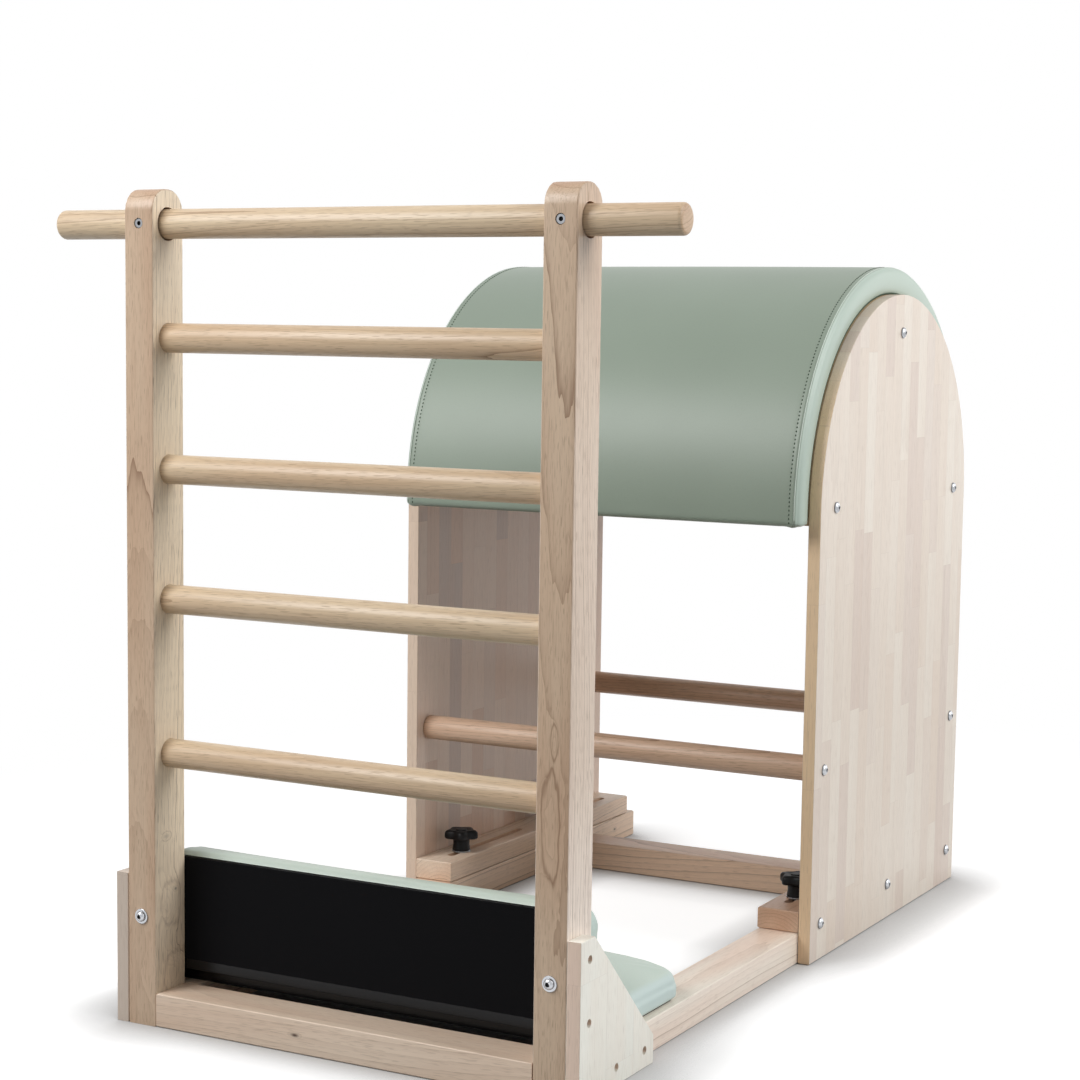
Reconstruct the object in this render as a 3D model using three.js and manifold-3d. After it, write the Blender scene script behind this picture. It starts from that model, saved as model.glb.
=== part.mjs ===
// Pilates ladder barrel: a pale hardwood ladder on a base frame, a padded foot platform behind it,
// and a half barrel between two arched panels that slides along the base and is clamped by four star knobs.
// Millimetres, +Z up. X runs across the ladder, Y from the ladder towards the barrel.
// The origin is on the floor, in the middle of the machine's overall length and width.
import * as THREE from "three";
import { mergeVertices } from "three/addons/utils/BufferGeometryUtils.js";
import Module from "manifold-3d";

const wasm = await Module();
wasm.setup();

// Fits and workshop values
const SEAT_GAP = 0.3; // left between two faces that rest on each other
const SLIDE_CLEARANCE = 0.5; // each side panel to the outer face of its base rail
const CUT_OVERRUN = 4; // how far a cutting tool runs past a face
const EASED_EDGE = 2; // edges of the solid timber are sanded off by this much
const BOARD_EDGE = 1; // edges of the sheet material

// Timber, boards and rods
const STOCK_NARROW = 45;
const STOCK_WIDE = 64;
const BOARD_THICKNESS = 19; // side panels and gussets
const ROD_RADIUS = 19; // rungs, top rail and barrel dowels
const ROD_CHAMFER = 2.5;
const DOWEL_CHAMFER = 1;

// Ladder
const POST_GAP = 564; // clear width between the posts
const POST_HEIGHT = 1091;
const POST_TOP_RADIUS = 28;
const RUNG_SOCKET_DEPTH = 20;
const FIRST_RUNG_HEIGHT = 361;
const FIRST_RUNG_GAP = 203; // from the first rung to the second
const TOP_RUNG_GAP = 145; // from the last rung up to the top rail
const RUNG_COUNT = 4;
const TOP_RAIL_DROP = 44; // from the top of the posts to the middle of the top rail
const TOP_RAIL_OVERHANG = 124; // past the outer face of each post
const TOP_RAIL_PLAY = 2.5; // around the rail in its holes
const TOP_RAIL_END_RADIUS = 5;

// Gussets between the posts and the base rails
const GUSSET_HEIGHT = 201;
const GUSSET_LENGTH = 202;
const GUSSET_FLAT = 37;
const GUSSET_BORE_RADIUS = 5.5;
const GUSSET_BORE_DEPTH = 9;
const GUSSET_PILOT_RADIUS = 2.5;
const GUSSET_SCREW_INSET = 23; // from the front and bottom edges
const GUSSET_SCREW_NEAR = 98; // from the same edges to the nearer screw of each leg
const GUSSET_SCREW_FAR = 176;

// Foot platform
const PLATFORM_FRONT_GAP = 12; // from the front sill to the platform board
const PLATFORM_LENGTH = 306;
const PLATFORM_SIDE_INSET = 8; // from the outer faces of the base rails
const PLATFORM_BOARD_THICKNESS = 18;
const PLATFORM_PAD_THICKNESS = 45; // with its board
const PLATFORM_CORNER_LENGTH = 65; // the swept rear corners, along Y
const PLATFORM_CORNER_WIDTH = 165; // and along X
const KICK_HEIGHT = 158;
const KICK_SIDE_INSET = 13;
const KICK_BOARD_THICKNESS = 15;
const KICK_PAD_THICKNESS = 50; // with its board
const KICK_CORNER_RADIUS = 38;
const PAD_SKIRT = 4; // cover wrapped round the edges of a board, apart from the one nearest the sill
const PAD_SIDE_BULGE = 2.5; // the sides swell at half height
const PAD_SIDE_DRAW = 4; // and are drawn in between the corners, above the board
const PAD_CROWN = 5;
const PAD_EDGE_RADIUS = 13;

// Barrel
const BARREL_SETBACK = 1043; // from the front of the posts to the middle of the barrel
const PANEL_RADIUS = 319;
const ARCH_HEIGHT = 659; // middle of the arch above the floor
const PANEL_FLOOR_GAP = 1;
const SHELL_THICKNESS = 9;
const FORMER_THICKNESS = 18;
const FORMER_DEPTH = 98;
const CUSHION_THICKNESS = 42;
const CUSHION_DROP = 16; // the cushion's lower edges below the middle of the arch
const CUSHION_LIP_RADIUS = 12;
const CUSHION_CROWN = 1.5;
const CUSHION_BAND_BULGE = 3.5; // the end bands swell over the edges of the panels
const CUSHION_SEAM_INSET = 9;
const CUSHION_SEAM_DEPTH = 1.2;
const DOWEL_SPREAD = 282; // each dowel from the middle of the barrel
const DOWEL_HEIGHT = 284;

// Base and slide
const RAIL_OVERHANG = 14; // base rails past the rear edge of the panels
const BEAM_SETBACK = 89; // rear beam behind the middle of the barrel
const STRIP_HEIGHT = 32;
const STRIP_REAR_INSET = 14; // from the rear edge of the panel
const SLOT_WIDTH = 12;
const SLOT_LENGTH = 236;
const SLOT_END_MARGIN = 42;
const SLOT_SIDE_INSET = 28; // middle of the slots from the inner edge of the strip
const STUD_SETBACK = 38; // rest place of each stud behind the front end of its slot

// Clamp knobs
const STUD_RADIUS = 5;
const STUD_LENGTH_IN_RAIL = 18;
const KNOB_RADIUS = 28;
const KNOB_LOBES = 5;
const KNOB_LOBE_DEPTH = 7;
const KNOB_HEAD_HEIGHT = 15;
const KNOB_HUB_RADIUS = 14.5;
const KNOB_HUB_HEIGHT = 19;
const KNOB_EDGE = 2.5;
const KNOB_CAP_RADIUS = 8;
const KNOB_CAP_DEPTH = 1;
const WASHER_RADIUS = 15;
const WASHER_THICKNESS = 2;
const WASHER_PLAY = 0.6;
const INSERT_RADIUS = 8;
const INSERT_LENGTH = 22;

// Bolts
const BOLT_RADIUS = 4;
const BOLT_HEAD_RADIUS = 8.5;
const BOLT_HEAD_HEIGHT = 5;
const BOLT_SOCKET_RADIUS = 3;
const BOLT_SOCKET_DEPTH = 2.6;
const STRIP_BOLT_BITE = 22;
const FORMER_BOLT_BITE = 14;
const DOWEL_BOLT_BITE = 40;
const MID_BOLT_RISE = 8; // above the middle of the arch
const STRIP_BOLT_RISE = 10; // above the base rail
const FOOT_BOLT_HEIGHT = 146;
const FOOT_BOLT_BITE = 11;
const FOOT_BOLT_HEAD_RADIUS = 7;
const FOOT_WASHER_RADIUS = 10;
const FOOT_WASHER_THICKNESS = 1.6;
const LOCK_HEAD_RADIUS = 6.5;
const LOCK_HEAD_HEIGHT = 8;
const LOCK_HEAD_SINK = 1;

// Facets of the round forms
const ROD_FACETS = 24;
const HOLE_FACETS = 16;
const BOLT_FACETS = 12;
const WASHER_FACETS = 16;
const ARCH_FACETS = 44;
const SLOT_END_FACETS = 8;
const LOBE_FACETS = 6;
const CORNER_FACETS = 8;
const POST_TOP_FACETS = 5;
const SIDE_FACETS = 6;
const HEX_SIDES = 6;
const PAD_ROLL_FACETS = 4;
const LIP_FACETS = 3;
const ROD_END_FACETS = 3;

// Shares of a size
const PAD_SIDE_SHARES = [0, 0.35, 0.7, 1]; // outlines up the side of a pad, of its height
const PAD_CROWN_SHARES = [0.35, 0.7, 0.94]; // outlines over its top, from the rolled edge to the middle
const DOME_SHARES = [0.3, 0.6]; // rings on the dome of a bolt head, of a quarter turn
const CROWN_SHARES = [0.8, 0.45, 0]; // points over the cushion, of its half width between the seams
const BAND_SHARES = [
  [0, 0],
  [0.25, 0.9],
  [0.5, 0.9],
  [0.75, 0.4],
]; // points on the cushion's end band: of its thickness, and of its bulge

// Places that follow from the sizes above
const postInner = POST_GAP / 2;
const postOuter = postInner + STOCK_NARROW;
const postMiddle = postInner + STOCK_NARROW / 2;
const postDepthMiddle = STOCK_WIDE / 2;
const railInner = postOuter - STOCK_WIDE;
const railTop = STOCK_NARROW;
const topRailHeight = POST_HEIGHT - TOP_RAIL_DROP;
const panelInner = postOuter + SLIDE_CLEARANCE;
const panelOuter = panelInner + BOARD_THICKNESS;
const panelFront = BARREL_SETBACK - PANEL_RADIUS;
const panelRear = BARREL_SETBACK + PANEL_RADIUS;
const railRear = panelRear + RAIL_OVERHANG;
const stripBottom = railTop + SEAT_GAP;
const stripTop = stripBottom + STRIP_HEIGHT;
const stripRear = panelRear - STRIP_REAR_INSET;
const stripOuter = panelInner - SEAT_GAP;
const slotX = railInner + SLOT_SIDE_INSET;
const slotStarts = [panelFront + SLOT_END_MARGIN, stripRear - SLOT_END_MARGIN - SLOT_LENGTH];
const shellInner = PANEL_RADIUS - SHELL_THICKNESS;
const formerOuter = shellInner - SEAT_GAP;
const formerBoltRadius = formerOuter - FORMER_DEPTH / 2;
const cushionInner = PANEL_RADIUS + SEAT_GAP;
const platformHalfWidth = postOuter - PLATFORM_SIDE_INSET;
const kickHalfWidth = postOuter - KICK_SIDE_INSET;
const kickBottom = railTop + PLATFORM_BOARD_THICKNESS + 2 * SEAT_GAP;
const boltFront = FOOT_WASHER_THICKNESS + BOLT_HEAD_HEIGHT + SEAT_GAP;
const cushionRear = BARREL_SETBACK + cushionInner + CUSHION_THICKNESS;
const machineMiddle = (cushionRear - boltFront) / 2;
const cushionBottom = ARCH_HEIGHT - CUSHION_DROP;
const platformFront = STOCK_WIDE + PLATFORM_FRONT_GAP;
const platformRear = platformFront + PLATFORM_LENGTH;
const platformPadFront = STOCK_WIDE + KICK_PAD_THICKNESS + 2 * SEAT_GAP;
const lastRungHeight = topRailHeight - TOP_RUNG_GAP;
const secondRungHeight = FIRST_RUNG_HEIGHT + FIRST_RUNG_GAP;
const rungPitch = (lastRungHeight - secondRungHeight) / (RUNG_COUNT - 2);
const rungHeights = Array.from({ length: RUNG_COUNT }, (_, i) =>
  i === 0 ? FIRST_RUNG_HEIGHT : secondRungHeight + (i - 1) * rungPitch,
);

// Finishes
const finish = (color, roughness, metalness) =>
  new THREE.MeshStandardMaterial({ color, roughness, metalness });
const timber = finish(0xd3bb9f, 0.45, 0);
const rodTimber = finish(0xdcc39b, 0.42, 0);
const panelTimber = finish(0xe6d8ca, 0.45, 0);
const plywood = finish(0xcdb18a, 0.6, 0);
const barrelCover = finish(0x9bac98, 0.45, 0);
const padCover = finish(0xb9ccbf, 0.45, 0);
const blackCover = finish(0x141416, 0.5, 0);
const blackPlastic = finish(0x111112, 0.55, 0);
const chrome = finish(0xd8dadd, 0.15, 1);
const zinc = finish(0xb9bbbd, 0.35, 1);

// A profile drawn in side view has Y as its first and Z as its second coordinate, and is extruded along X.
const sideView = new THREE.Matrix4().makeBasis(
  new THREE.Vector3(0, 1, 0),
  new THREE.Vector3(0, 0, 1),
  new THREE.Vector3(1, 0, 0),
);

// The closed solid of a geometry, for joining and cutting
function solid(geometry) {
  const bare = geometry.index ? geometry.toNonIndexed() : geometry.clone();
  bare.deleteAttribute("normal");
  bare.deleteAttribute("uv");
  const merged = mergeVertices(bare);
  return new wasm.Manifold(
    new wasm.Mesh({
      numProp: 3,
      vertProperties: merged.attributes.position.array,
      triVerts: new Uint32Array(merged.index.array),
    }),
  );
}

// The geometry of a solid, for a mesh
function surface(body) {
  const mesh = body.getMesh();
  return new THREE.BufferGeometry()
    .setAttribute("position", new THREE.BufferAttribute(mesh.vertProperties, 3))
    .setIndex(new THREE.BufferAttribute(mesh.triVerts, 1));
}

// One named piece in the given group
function piece(group, name, form, material) {
  const geometry = form.isBufferGeometry ? form : surface(form);
  if (!geometry.attributes.normal) geometry.computeVertexNormals();
  const mesh = new THREE.Mesh(geometry, material);
  mesh.name = name;
  group.add(mesh);
  return mesh;
}

// A flat outline given a thickness along Z from zero, with its edges taken off
function slab(outline, thickness, edge) {
  return new THREE.ExtrudeGeometry(outline, {
    depth: thickness - 2 * edge,
    bevelThickness: edge,
    bevelSize: edge,
    bevelOffset: -edge,
    bevelSegments: 1,
    curveSegments: CORNER_FACETS,
  }).translate(0, 0, edge);
}

// An outline drawn in side view, with its thickness from x to x + thickness
function sideSlab(outline, x, thickness, edge) {
  return slab(outline, thickness, edge).applyMatrix4(sideView).translate(x, 0, 0);
}

// A timber with eased edges between two corners
function beam(low, high, edge = EASED_EDGE) {
  const outline = new THREE.Shape()
    .moveTo(low[0], low[1])
    .lineTo(high[0], low[1])
    .lineTo(high[0], high[1])
    .lineTo(low[0], high[1]);
  return slab(outline, high[2] - low[2], edge).translate(0, 0, low[2]);
}

// A round rod along X, its end edges rounded by `edge`, or chamfered where they have one facet
function rod(from, to, y, z, radius, edge, facets = 1) {
  const near = Array.from({ length: facets + 1 }, (_, i) => {
    const turn = ((Math.PI / 2) * i) / facets;
    const inset = edge * (1 - Math.sin(turn));
    return new THREE.Vector2(radius - inset, from + edge * (1 - Math.cos(turn)));
  });
  const far = near.map((p) => new THREE.Vector2(p.x, from + to - p.y)).toReversed();
  const profile = [new THREE.Vector2(0, from), ...near, ...far, new THREE.Vector2(0, to)];
  return new THREE.LatheGeometry(profile, ROD_FACETS).rotateZ(-Math.PI / 2).translate(0, y, z);
}

// Round cutters along each axis, between two places on it
function boreX(from, to, y, z, radius, facets = HOLE_FACETS) {
  const tool = new THREE.CylinderGeometry(radius, radius, to - from, facets);
  return solid(tool.rotateZ(-Math.PI / 2).translate((from + to) / 2, y, z));
}
function boreY(from, to, x, z, radius, facets = HOLE_FACETS) {
  const tool = new THREE.CylinderGeometry(radius, radius, to - from, facets);
  return solid(tool.translate(x, (from + to) / 2, z));
}
function boreZ(from, to, x, y, radius, facets = HOLE_FACETS) {
  const tool = new THREE.CylinderGeometry(radius, radius, to - from, facets);
  return solid(tool.rotateX(Math.PI / 2).translate(x, y, (from + to) / 2));
}

// The points of an elliptical arc, both ends included
function arc(x, y, width, height, from, to, facets) {
  return Array.from({ length: facets + 1 }, (_, i) => {
    const turn = from + ((to - from) * i) / facets;
    return new THREE.Vector2(x + width * Math.cos(turn), y + height * Math.sin(turn));
  });
}

// Rings of equally many points, each ring counter-clockwise seen from the last ring, closed at both ends
function loft(rings) {
  const count = rings[0].length;
  const middle = (ring) =>
    ring.reduce((sum, p) => sum.add(p), new THREE.Vector3()).divideScalar(count);
  const points = [...rings.flat(), middle(rings[0]), middle(rings.at(-1))];
  const first = rings.length * count;
  const faces = [];
  for (let i = 0; i < count; i++) {
    const next = (i + 1) % count;
    faces.push(first, next, i);
    const top = (rings.length - 1) * count;
    faces.push(first + 1, top + i, top + next);
    for (let r = 0; r + 1 < rings.length; r++) {
      const [a, b, c, d] = [r * count + i, r * count + next, (r + 1) * count + next, (r + 1) * count + i];
      faces.push(a, b, c, a, c, d);
    }
  }
  const geometry = new THREE.BufferGeometry().setFromPoints(points);
  geometry.setIndex(faces);
  return geometry;
}

// Ladder

// One post, with rung sockets in its inner face, a hole for the top rail, and holes for its screws
function post(side) {
  const outline = new THREE.Shape([
    new THREE.Vector2(0, 0),
    new THREE.Vector2(STOCK_WIDE, 0),
    ...arc(
      STOCK_WIDE - POST_TOP_RADIUS,
      POST_HEIGHT - POST_TOP_RADIUS,
      POST_TOP_RADIUS,
      POST_TOP_RADIUS,
      0,
      Math.PI / 2,
      POST_TOP_FACETS,
    ),
    ...arc(
      POST_TOP_RADIUS,
      POST_HEIGHT - POST_TOP_RADIUS,
      POST_TOP_RADIUS,
      POST_TOP_RADIUS,
      Math.PI / 2,
      Math.PI,
      POST_TOP_FACETS,
    ),
  ]);
  const low = side > 0 ? postInner : -postOuter;
  let body = solid(sideSlab(outline, low, STOCK_NARROW, EASED_EDGE));
  const mouth = side * (postInner - CUT_OVERRUN);
  const floor = side * (postInner + RUNG_SOCKET_DEPTH);
  for (const height of rungHeights) {
    const socket = boreX(
      Math.min(mouth, floor),
      Math.max(mouth, floor),
      postDepthMiddle,
      height,
      ROD_RADIUS + SEAT_GAP,
      ROD_FACETS,
    );
    body = body.subtract(socket);
  }
  const through = boreX(
    low - CUT_OVERRUN,
    low + STOCK_NARROW + CUT_OVERRUN,
    postDepthMiddle,
    topRailHeight,
    ROD_RADIUS + TOP_RAIL_PLAY,
    ROD_FACETS,
  );
  const headSeat = LOCK_HEAD_SINK + LOCK_HEAD_HEIGHT + SEAT_GAP;
  const x = side * postMiddle;
  const head = boreY(-CUT_OVERRUN, headSeat, x, topRailHeight, LOCK_HEAD_RADIUS + SEAT_GAP);
  const shank = boreY(-CUT_OVERRUN, postDepthMiddle, x, topRailHeight, BOLT_RADIUS + SEAT_GAP);
  const foot = boreY(
    -CUT_OVERRUN,
    STOCK_WIDE + CUT_OVERRUN,
    x,
    FOOT_BOLT_HEIGHT,
    BOLT_RADIUS + SEAT_GAP,
  );
  return body.subtract(through).subtract(head).subtract(shank).subtract(foot);
}

// One rung, its ends seated in the post sockets
function rung(height) {
  const end = postInner + RUNG_SOCKET_DEPTH - SEAT_GAP;
  return rod(-end, end, postDepthMiddle, height, ROD_RADIUS, ROD_CHAMFER);
}

// The long rail across the top, past both posts
function topRail() {
  const end = postOuter + TOP_RAIL_OVERHANG;
  return rod(
    -end,
    end,
    postDepthMiddle,
    topRailHeight,
    ROD_RADIUS,
    TOP_RAIL_END_RADIUS,
    ROD_END_FACETS,
  );
}

// The sill between the feet of the posts
function frontSill() {
  const end = postInner - SEAT_GAP;
  return beam([-end, 0, 0], [end, STOCK_WIDE, STOCK_NARROW]);
}

// A triangular gusset with clipped corners and four counterbored screw holes
function gusset(side) {
  const outline = new THREE.Shape()
    .moveTo(0, 0)
    .lineTo(GUSSET_LENGTH, 0)
    .lineTo(GUSSET_LENGTH, GUSSET_FLAT)
    .lineTo(GUSSET_FLAT, GUSSET_HEIGHT)
    .lineTo(0, GUSSET_HEIGHT);
  const inner = postOuter + SEAT_GAP;
  const low = side > 0 ? inner : -inner - BOARD_THICKNESS;
  let body = solid(sideSlab(outline, low, BOARD_THICKNESS, BOARD_EDGE));
  const screws = [
    [GUSSET_SCREW_INSET, GUSSET_SCREW_FAR],
    [GUSSET_SCREW_INSET, GUSSET_SCREW_NEAR],
    [GUSSET_SCREW_NEAR, GUSSET_SCREW_INSET],
    [GUSSET_SCREW_FAR, GUSSET_SCREW_INSET],
  ];
  const face = side > 0 ? low + BOARD_THICKNESS : low;
  for (const [y, z] of screws) {
    const floor = face - side * GUSSET_BORE_DEPTH;
    const open = face + side * CUT_OVERRUN;
    body = body
      .subtract(boreX(Math.min(floor, open), Math.max(floor, open), y, z, GUSSET_BORE_RADIUS))
      .subtract(
        boreX(
          low - CUT_OVERRUN,
          low + BOARD_THICKNESS + CUT_OVERRUN,
          y,
          z,
          GUSSET_PILOT_RADIUS,
          BOLT_FACETS,
        ),
      );
  }
  return body;
}

// Base

// A base rail behind its post, with a blind hole for each threaded insert
function baseRail(side) {
  const low = side > 0 ? railInner : -postOuter;
  let body = solid(
    beam([low, STOCK_WIDE + SEAT_GAP, 0], [low + STOCK_WIDE, railRear, railTop]),
  );
  for (const start of slotStarts) {
    const pocket = boreZ(
      railTop - INSERT_LENGTH - 2 * SEAT_GAP,
      railTop + CUT_OVERRUN,
      side * slotX,
      start + STUD_SETBACK,
      INSERT_RADIUS + SEAT_GAP,
    );
    body = body.subtract(pocket);
  }
  return body;
}

// The beam that ties the base rails together under the barrel
function rearBeam() {
  const end = railInner - SEAT_GAP;
  const middle = BARREL_SETBACK + BEAM_SETBACK;
  return beam([-end, middle - STOCK_WIDE / 2, 0], [end, middle + STOCK_WIDE / 2, STOCK_NARROW]);
}

// A closed ring about Z, as a washer or a threaded sleeve
function ring(inner, outer, from, to, facets) {
  const profile = [
    new THREE.Vector2(inner, from),
    new THREE.Vector2(outer, from),
    new THREE.Vector2(outer, to),
    new THREE.Vector2(inner, to),
    new THREE.Vector2(inner, from),
  ];
  return new THREE.LatheGeometry(profile, facets).rotateX(Math.PI / 2);
}

// The threaded insert that holds a clamp stud, its top level with the base rail
function railInsert() {
  const bottom = railTop - SEAT_GAP - INSERT_LENGTH;
  return ring(STUD_RADIUS + SEAT_GAP, INSERT_RADIUS, bottom, railTop - SEAT_GAP, HOLE_FACETS);
}

// Foot platform

// The points between two corners of an outline that runs counter-clockwise, drawn in by `draw` at the middle
function drawnSide(from, to, draw) {
  const inward = new THREE.Vector2(from.y - to.y, to.x - from.x).normalize();
  return Array.from({ length: SIDE_FACETS - 1 }, (_, i) => {
    const share = (i + 1) / SIDE_FACETS;
    const bend = draw * Math.sin(Math.PI * share);
    return from.clone().lerp(to, share).addScaledVector(inward, bend);
  });
}

// An outline of two square corners at the start and two round ones, with its sides drawn in
function padPlan(low, high, width, height, draw) {
  const [left, right] = [new THREE.Vector2(low.x, low.y), new THREE.Vector2(high.x, low.y)];
  const y = high.y - height;
  const first = arc(high.x - width, y, width, height, 0, Math.PI / 2, CORNER_FACETS);
  const second = arc(low.x + width, y, width, height, Math.PI / 2, Math.PI, CORNER_FACETS);
  return [
    left,
    ...drawnSide(left, right, draw),
    right,
    ...drawnSide(right, first[0], draw),
    ...first,
    ...drawnSide(first.at(-1), second[0], draw),
    ...second,
    ...drawnSide(second.at(-1), left, draw),
  ];
}

// The plan of the platform: a straight front and swept rear corners, taken in by `inset` all round
function platformPlan(inset, draw, front) {
  return padPlan(
    new THREE.Vector2(inset - platformHalfWidth, front + inset),
    new THREE.Vector2(platformHalfWidth - inset, platformRear - inset),
    PLATFORM_CORNER_WIDTH - inset,
    PLATFORM_CORNER_LENGTH - inset,
    draw,
  );
}

// The board that lies on the base rails
function platformBoard() {
  const outline = new THREE.Shape(platformPlan(PAD_SKIRT + SEAT_GAP, 0, platformFront));
  return slab(outline, PLATFORM_BOARD_THICKNESS, BOARD_EDGE).translate(0, 0, railTop + SEAT_GAP);
}

// Rings of an upholstered pad over a plan: sides, rolled edge, then the crown towards the middle.
// `plan(inset, draw)` gives an outline, and `place(point, height)` puts one of its points above the base.
function padRings(plan, place, height, skirt) {
  const rings = [];
  const side = height - PAD_EDGE_RADIUS - skirt;
  for (const share of PAD_SIDE_SHARES) {
    const inset = PAD_SIDE_BULGE * (1 - Math.sin(Math.PI * share));
    rings.push(plan(inset, PAD_SIDE_DRAW * share).map((p) => place(p, skirt + side * share)));
  }
  for (let i = 1; i <= PAD_ROLL_FACETS; i++) {
    const turn = (Math.PI / 2) * (i / PAD_ROLL_FACETS);
    const inset = PAD_SIDE_BULGE + PAD_EDGE_RADIUS * (1 - Math.cos(turn));
    const rise = skirt + side + PAD_EDGE_RADIUS * Math.sin(turn);
    rings.push(plan(inset, PAD_SIDE_DRAW).map((p) => place(p, rise)));
  }
  const rim = plan(PAD_SIDE_BULGE + PAD_EDGE_RADIUS, PAD_SIDE_DRAW);
  const middle = rim
    .reduce((sum, p) => sum.add(p), new THREE.Vector2())
    .divideScalar(rim.length);
  for (const share of PAD_CROWN_SHARES) {
    const rise = height + PAD_CROWN * Math.sin((Math.PI / 2) * share);
    rings.push(rim.map((p) => place(p.clone().lerp(middle, share), rise)));
  }
  return rings;
}

// The platform's upholstery, wrapped over the board's sides and rear edge
function platformPad() {
  const plan = (inset, draw) => platformPlan(inset, draw, platformPadFront);
  const base = railTop + SEAT_GAP;
  const place = (p, height) => new THREE.Vector3(p.x, p.y, base + height);
  const height = PLATFORM_PAD_THICKNESS - PAD_CROWN;
  const body = solid(loft(padRings(plan, place, height, EASED_EDGE)));
  const recess = new THREE.Shape(platformPlan(PAD_SKIRT, 0, platformFront - CUT_OVERRUN));
  const cutter = solid(slab(recess, PLATFORM_BOARD_THICKNESS + SEAT_GAP + CUT_OVERRUN, 0));
  return body.subtract(cutter.translate(0, 0, base - CUT_OVERRUN));
}

// The front view of the kick pad: square lower corners and round upper ones, taken in by `inset` all round
function kickPlan(inset, draw, bottom = kickBottom) {
  return padPlan(
    new THREE.Vector2(inset - kickHalfWidth, bottom + inset),
    new THREE.Vector2(kickHalfWidth - inset, kickBottom + KICK_HEIGHT - inset),
    KICK_CORNER_RADIUS - inset,
    KICK_CORNER_RADIUS - inset,
    draw,
  );
}

// The upright board bolted to the backs of the posts, covered in black on the side of the ladder
function kickBoard() {
  const inset = PAD_SKIRT + SEAT_GAP;
  const outline = new THREE.Shape(kickPlan(inset, 0, kickBottom - inset));
  const back = STOCK_WIDE + SEAT_GAP;
  let body = solid(
    slab(outline, KICK_BOARD_THICKNESS, BOARD_EDGE)
      .rotateX(Math.PI / 2)
      .translate(0, back + KICK_BOARD_THICKNESS, 0),
  );
  for (const side of [-1, 1]) {
    const hole = boreY(
      back - CUT_OVERRUN,
      back + KICK_BOARD_THICKNESS + CUT_OVERRUN,
      side * postMiddle,
      FOOT_BOLT_HEIGHT,
      BOLT_RADIUS + SEAT_GAP,
    );
    body = body.subtract(hole);
  }
  return body;
}

// The upholstery of the kick board, on the side of the barrel
function kickPad() {
  const back = STOCK_WIDE + SEAT_GAP;
  const place = (p, height) => new THREE.Vector3(p.x, back + height, p.y);
  const height = KICK_PAD_THICKNESS - PAD_CROWN;
  const rings = padRings((inset, draw) => kickPlan(inset, draw), place, height, EASED_EDGE);
  const body = solid(loft(rings.map((points) => points.toReversed())));
  const recess = new THREE.Shape(kickPlan(PAD_SKIRT, 0, kickBottom - CUT_OVERRUN));
  const depth = KICK_BOARD_THICKNESS + SEAT_GAP + CUT_OVERRUN;
  const cutter = solid(slab(recess, depth, 0).rotateX(Math.PI / 2));
  return body.subtract(cutter.translate(0, back - CUT_OVERRUN + depth, 0));
}

// Barrel

// An arch in side view: straight sides down to `bottom`, closed or with an inner arch of `inner` radius
function archOutline(radius, bottom, inner) {
  const outer = arc(BARREL_SETBACK, ARCH_HEIGHT, radius, radius, 0, Math.PI, ARCH_FACETS);
  const points = [new THREE.Vector2(BARREL_SETBACK + radius, bottom), ...outer];
  points.push(new THREE.Vector2(BARREL_SETBACK - radius, bottom));
  if (inner) {
    points.push(new THREE.Vector2(BARREL_SETBACK - inner, bottom));
    points.push(...arc(BARREL_SETBACK, ARCH_HEIGHT, inner, inner, Math.PI, 0, ARCH_FACETS));
    points.push(new THREE.Vector2(BARREL_SETBACK + inner, bottom));
  }
  return new THREE.Shape(points);
}

// Where each side panel is bolted: to the former, the two dowels and the slide strip
const midBoltSpread = Math.sqrt(formerBoltRadius ** 2 - MID_BOLT_RISE ** 2);
const panelBolts = [
  ["top", 0, ARCH_HEIGHT + formerBoltRadius, FORMER_BOLT_BITE],
  ["mid_front", -midBoltSpread, ARCH_HEIGHT + MID_BOLT_RISE, FORMER_BOLT_BITE],
  ["mid_rear", midBoltSpread, ARCH_HEIGHT + MID_BOLT_RISE, FORMER_BOLT_BITE],
  ["dowel_front", -DOWEL_SPREAD, DOWEL_HEIGHT, DOWEL_BOLT_BITE],
  ["dowel_rear", DOWEL_SPREAD, DOWEL_HEIGHT, DOWEL_BOLT_BITE],
  ["foot_front", -DOWEL_SPREAD, stripBottom + STRIP_BOLT_RISE, STRIP_BOLT_BITE],
  ["foot_middle", 0, stripBottom + STRIP_BOLT_RISE, STRIP_BOLT_BITE],
  ["foot_rear", DOWEL_SPREAD, stripBottom + STRIP_BOLT_RISE, STRIP_BOLT_BITE],
];

// Cuts the clearance hole of one panel bolt out of a solid
function drilled(body, side, [, y, z, bite]) {
  const tip = side * (panelInner - bite - SEAT_GAP);
  const open = side * (panelOuter + CUT_OVERRUN);
  const hole = boreX(
    Math.min(tip, open),
    Math.max(tip, open),
    BARREL_SETBACK + y,
    z,
    BOLT_RADIUS + SEAT_GAP,
    BOLT_FACETS,
  );
  return body.subtract(hole);
}

// One arched side panel with its eight bolt holes
function sidePanel(side) {
  const outline = archOutline(PANEL_RADIUS, PANEL_FLOOR_GAP);
  const low = side > 0 ? panelInner : -panelOuter;
  const body = solid(sideSlab(outline, low, BOARD_THICKNESS, BOARD_EDGE));
  return panelBolts.reduce((cut, bolt) => drilled(cut, side, bolt), body);
}

// The arched former inside each panel, which carries the shell
function former(side) {
  const outline = archOutline(formerOuter, cushionBottom, formerOuter - FORMER_DEPTH);
  const inner = panelInner - SEAT_GAP - FORMER_THICKNESS;
  const low = side > 0 ? inner : -inner - FORMER_THICKNESS;
  const body = solid(sideSlab(outline, low, FORMER_THICKNESS, 0));
  return panelBolts.slice(0, 3).reduce((cut, bolt) => drilled(cut, side, bolt), body);
}

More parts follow.
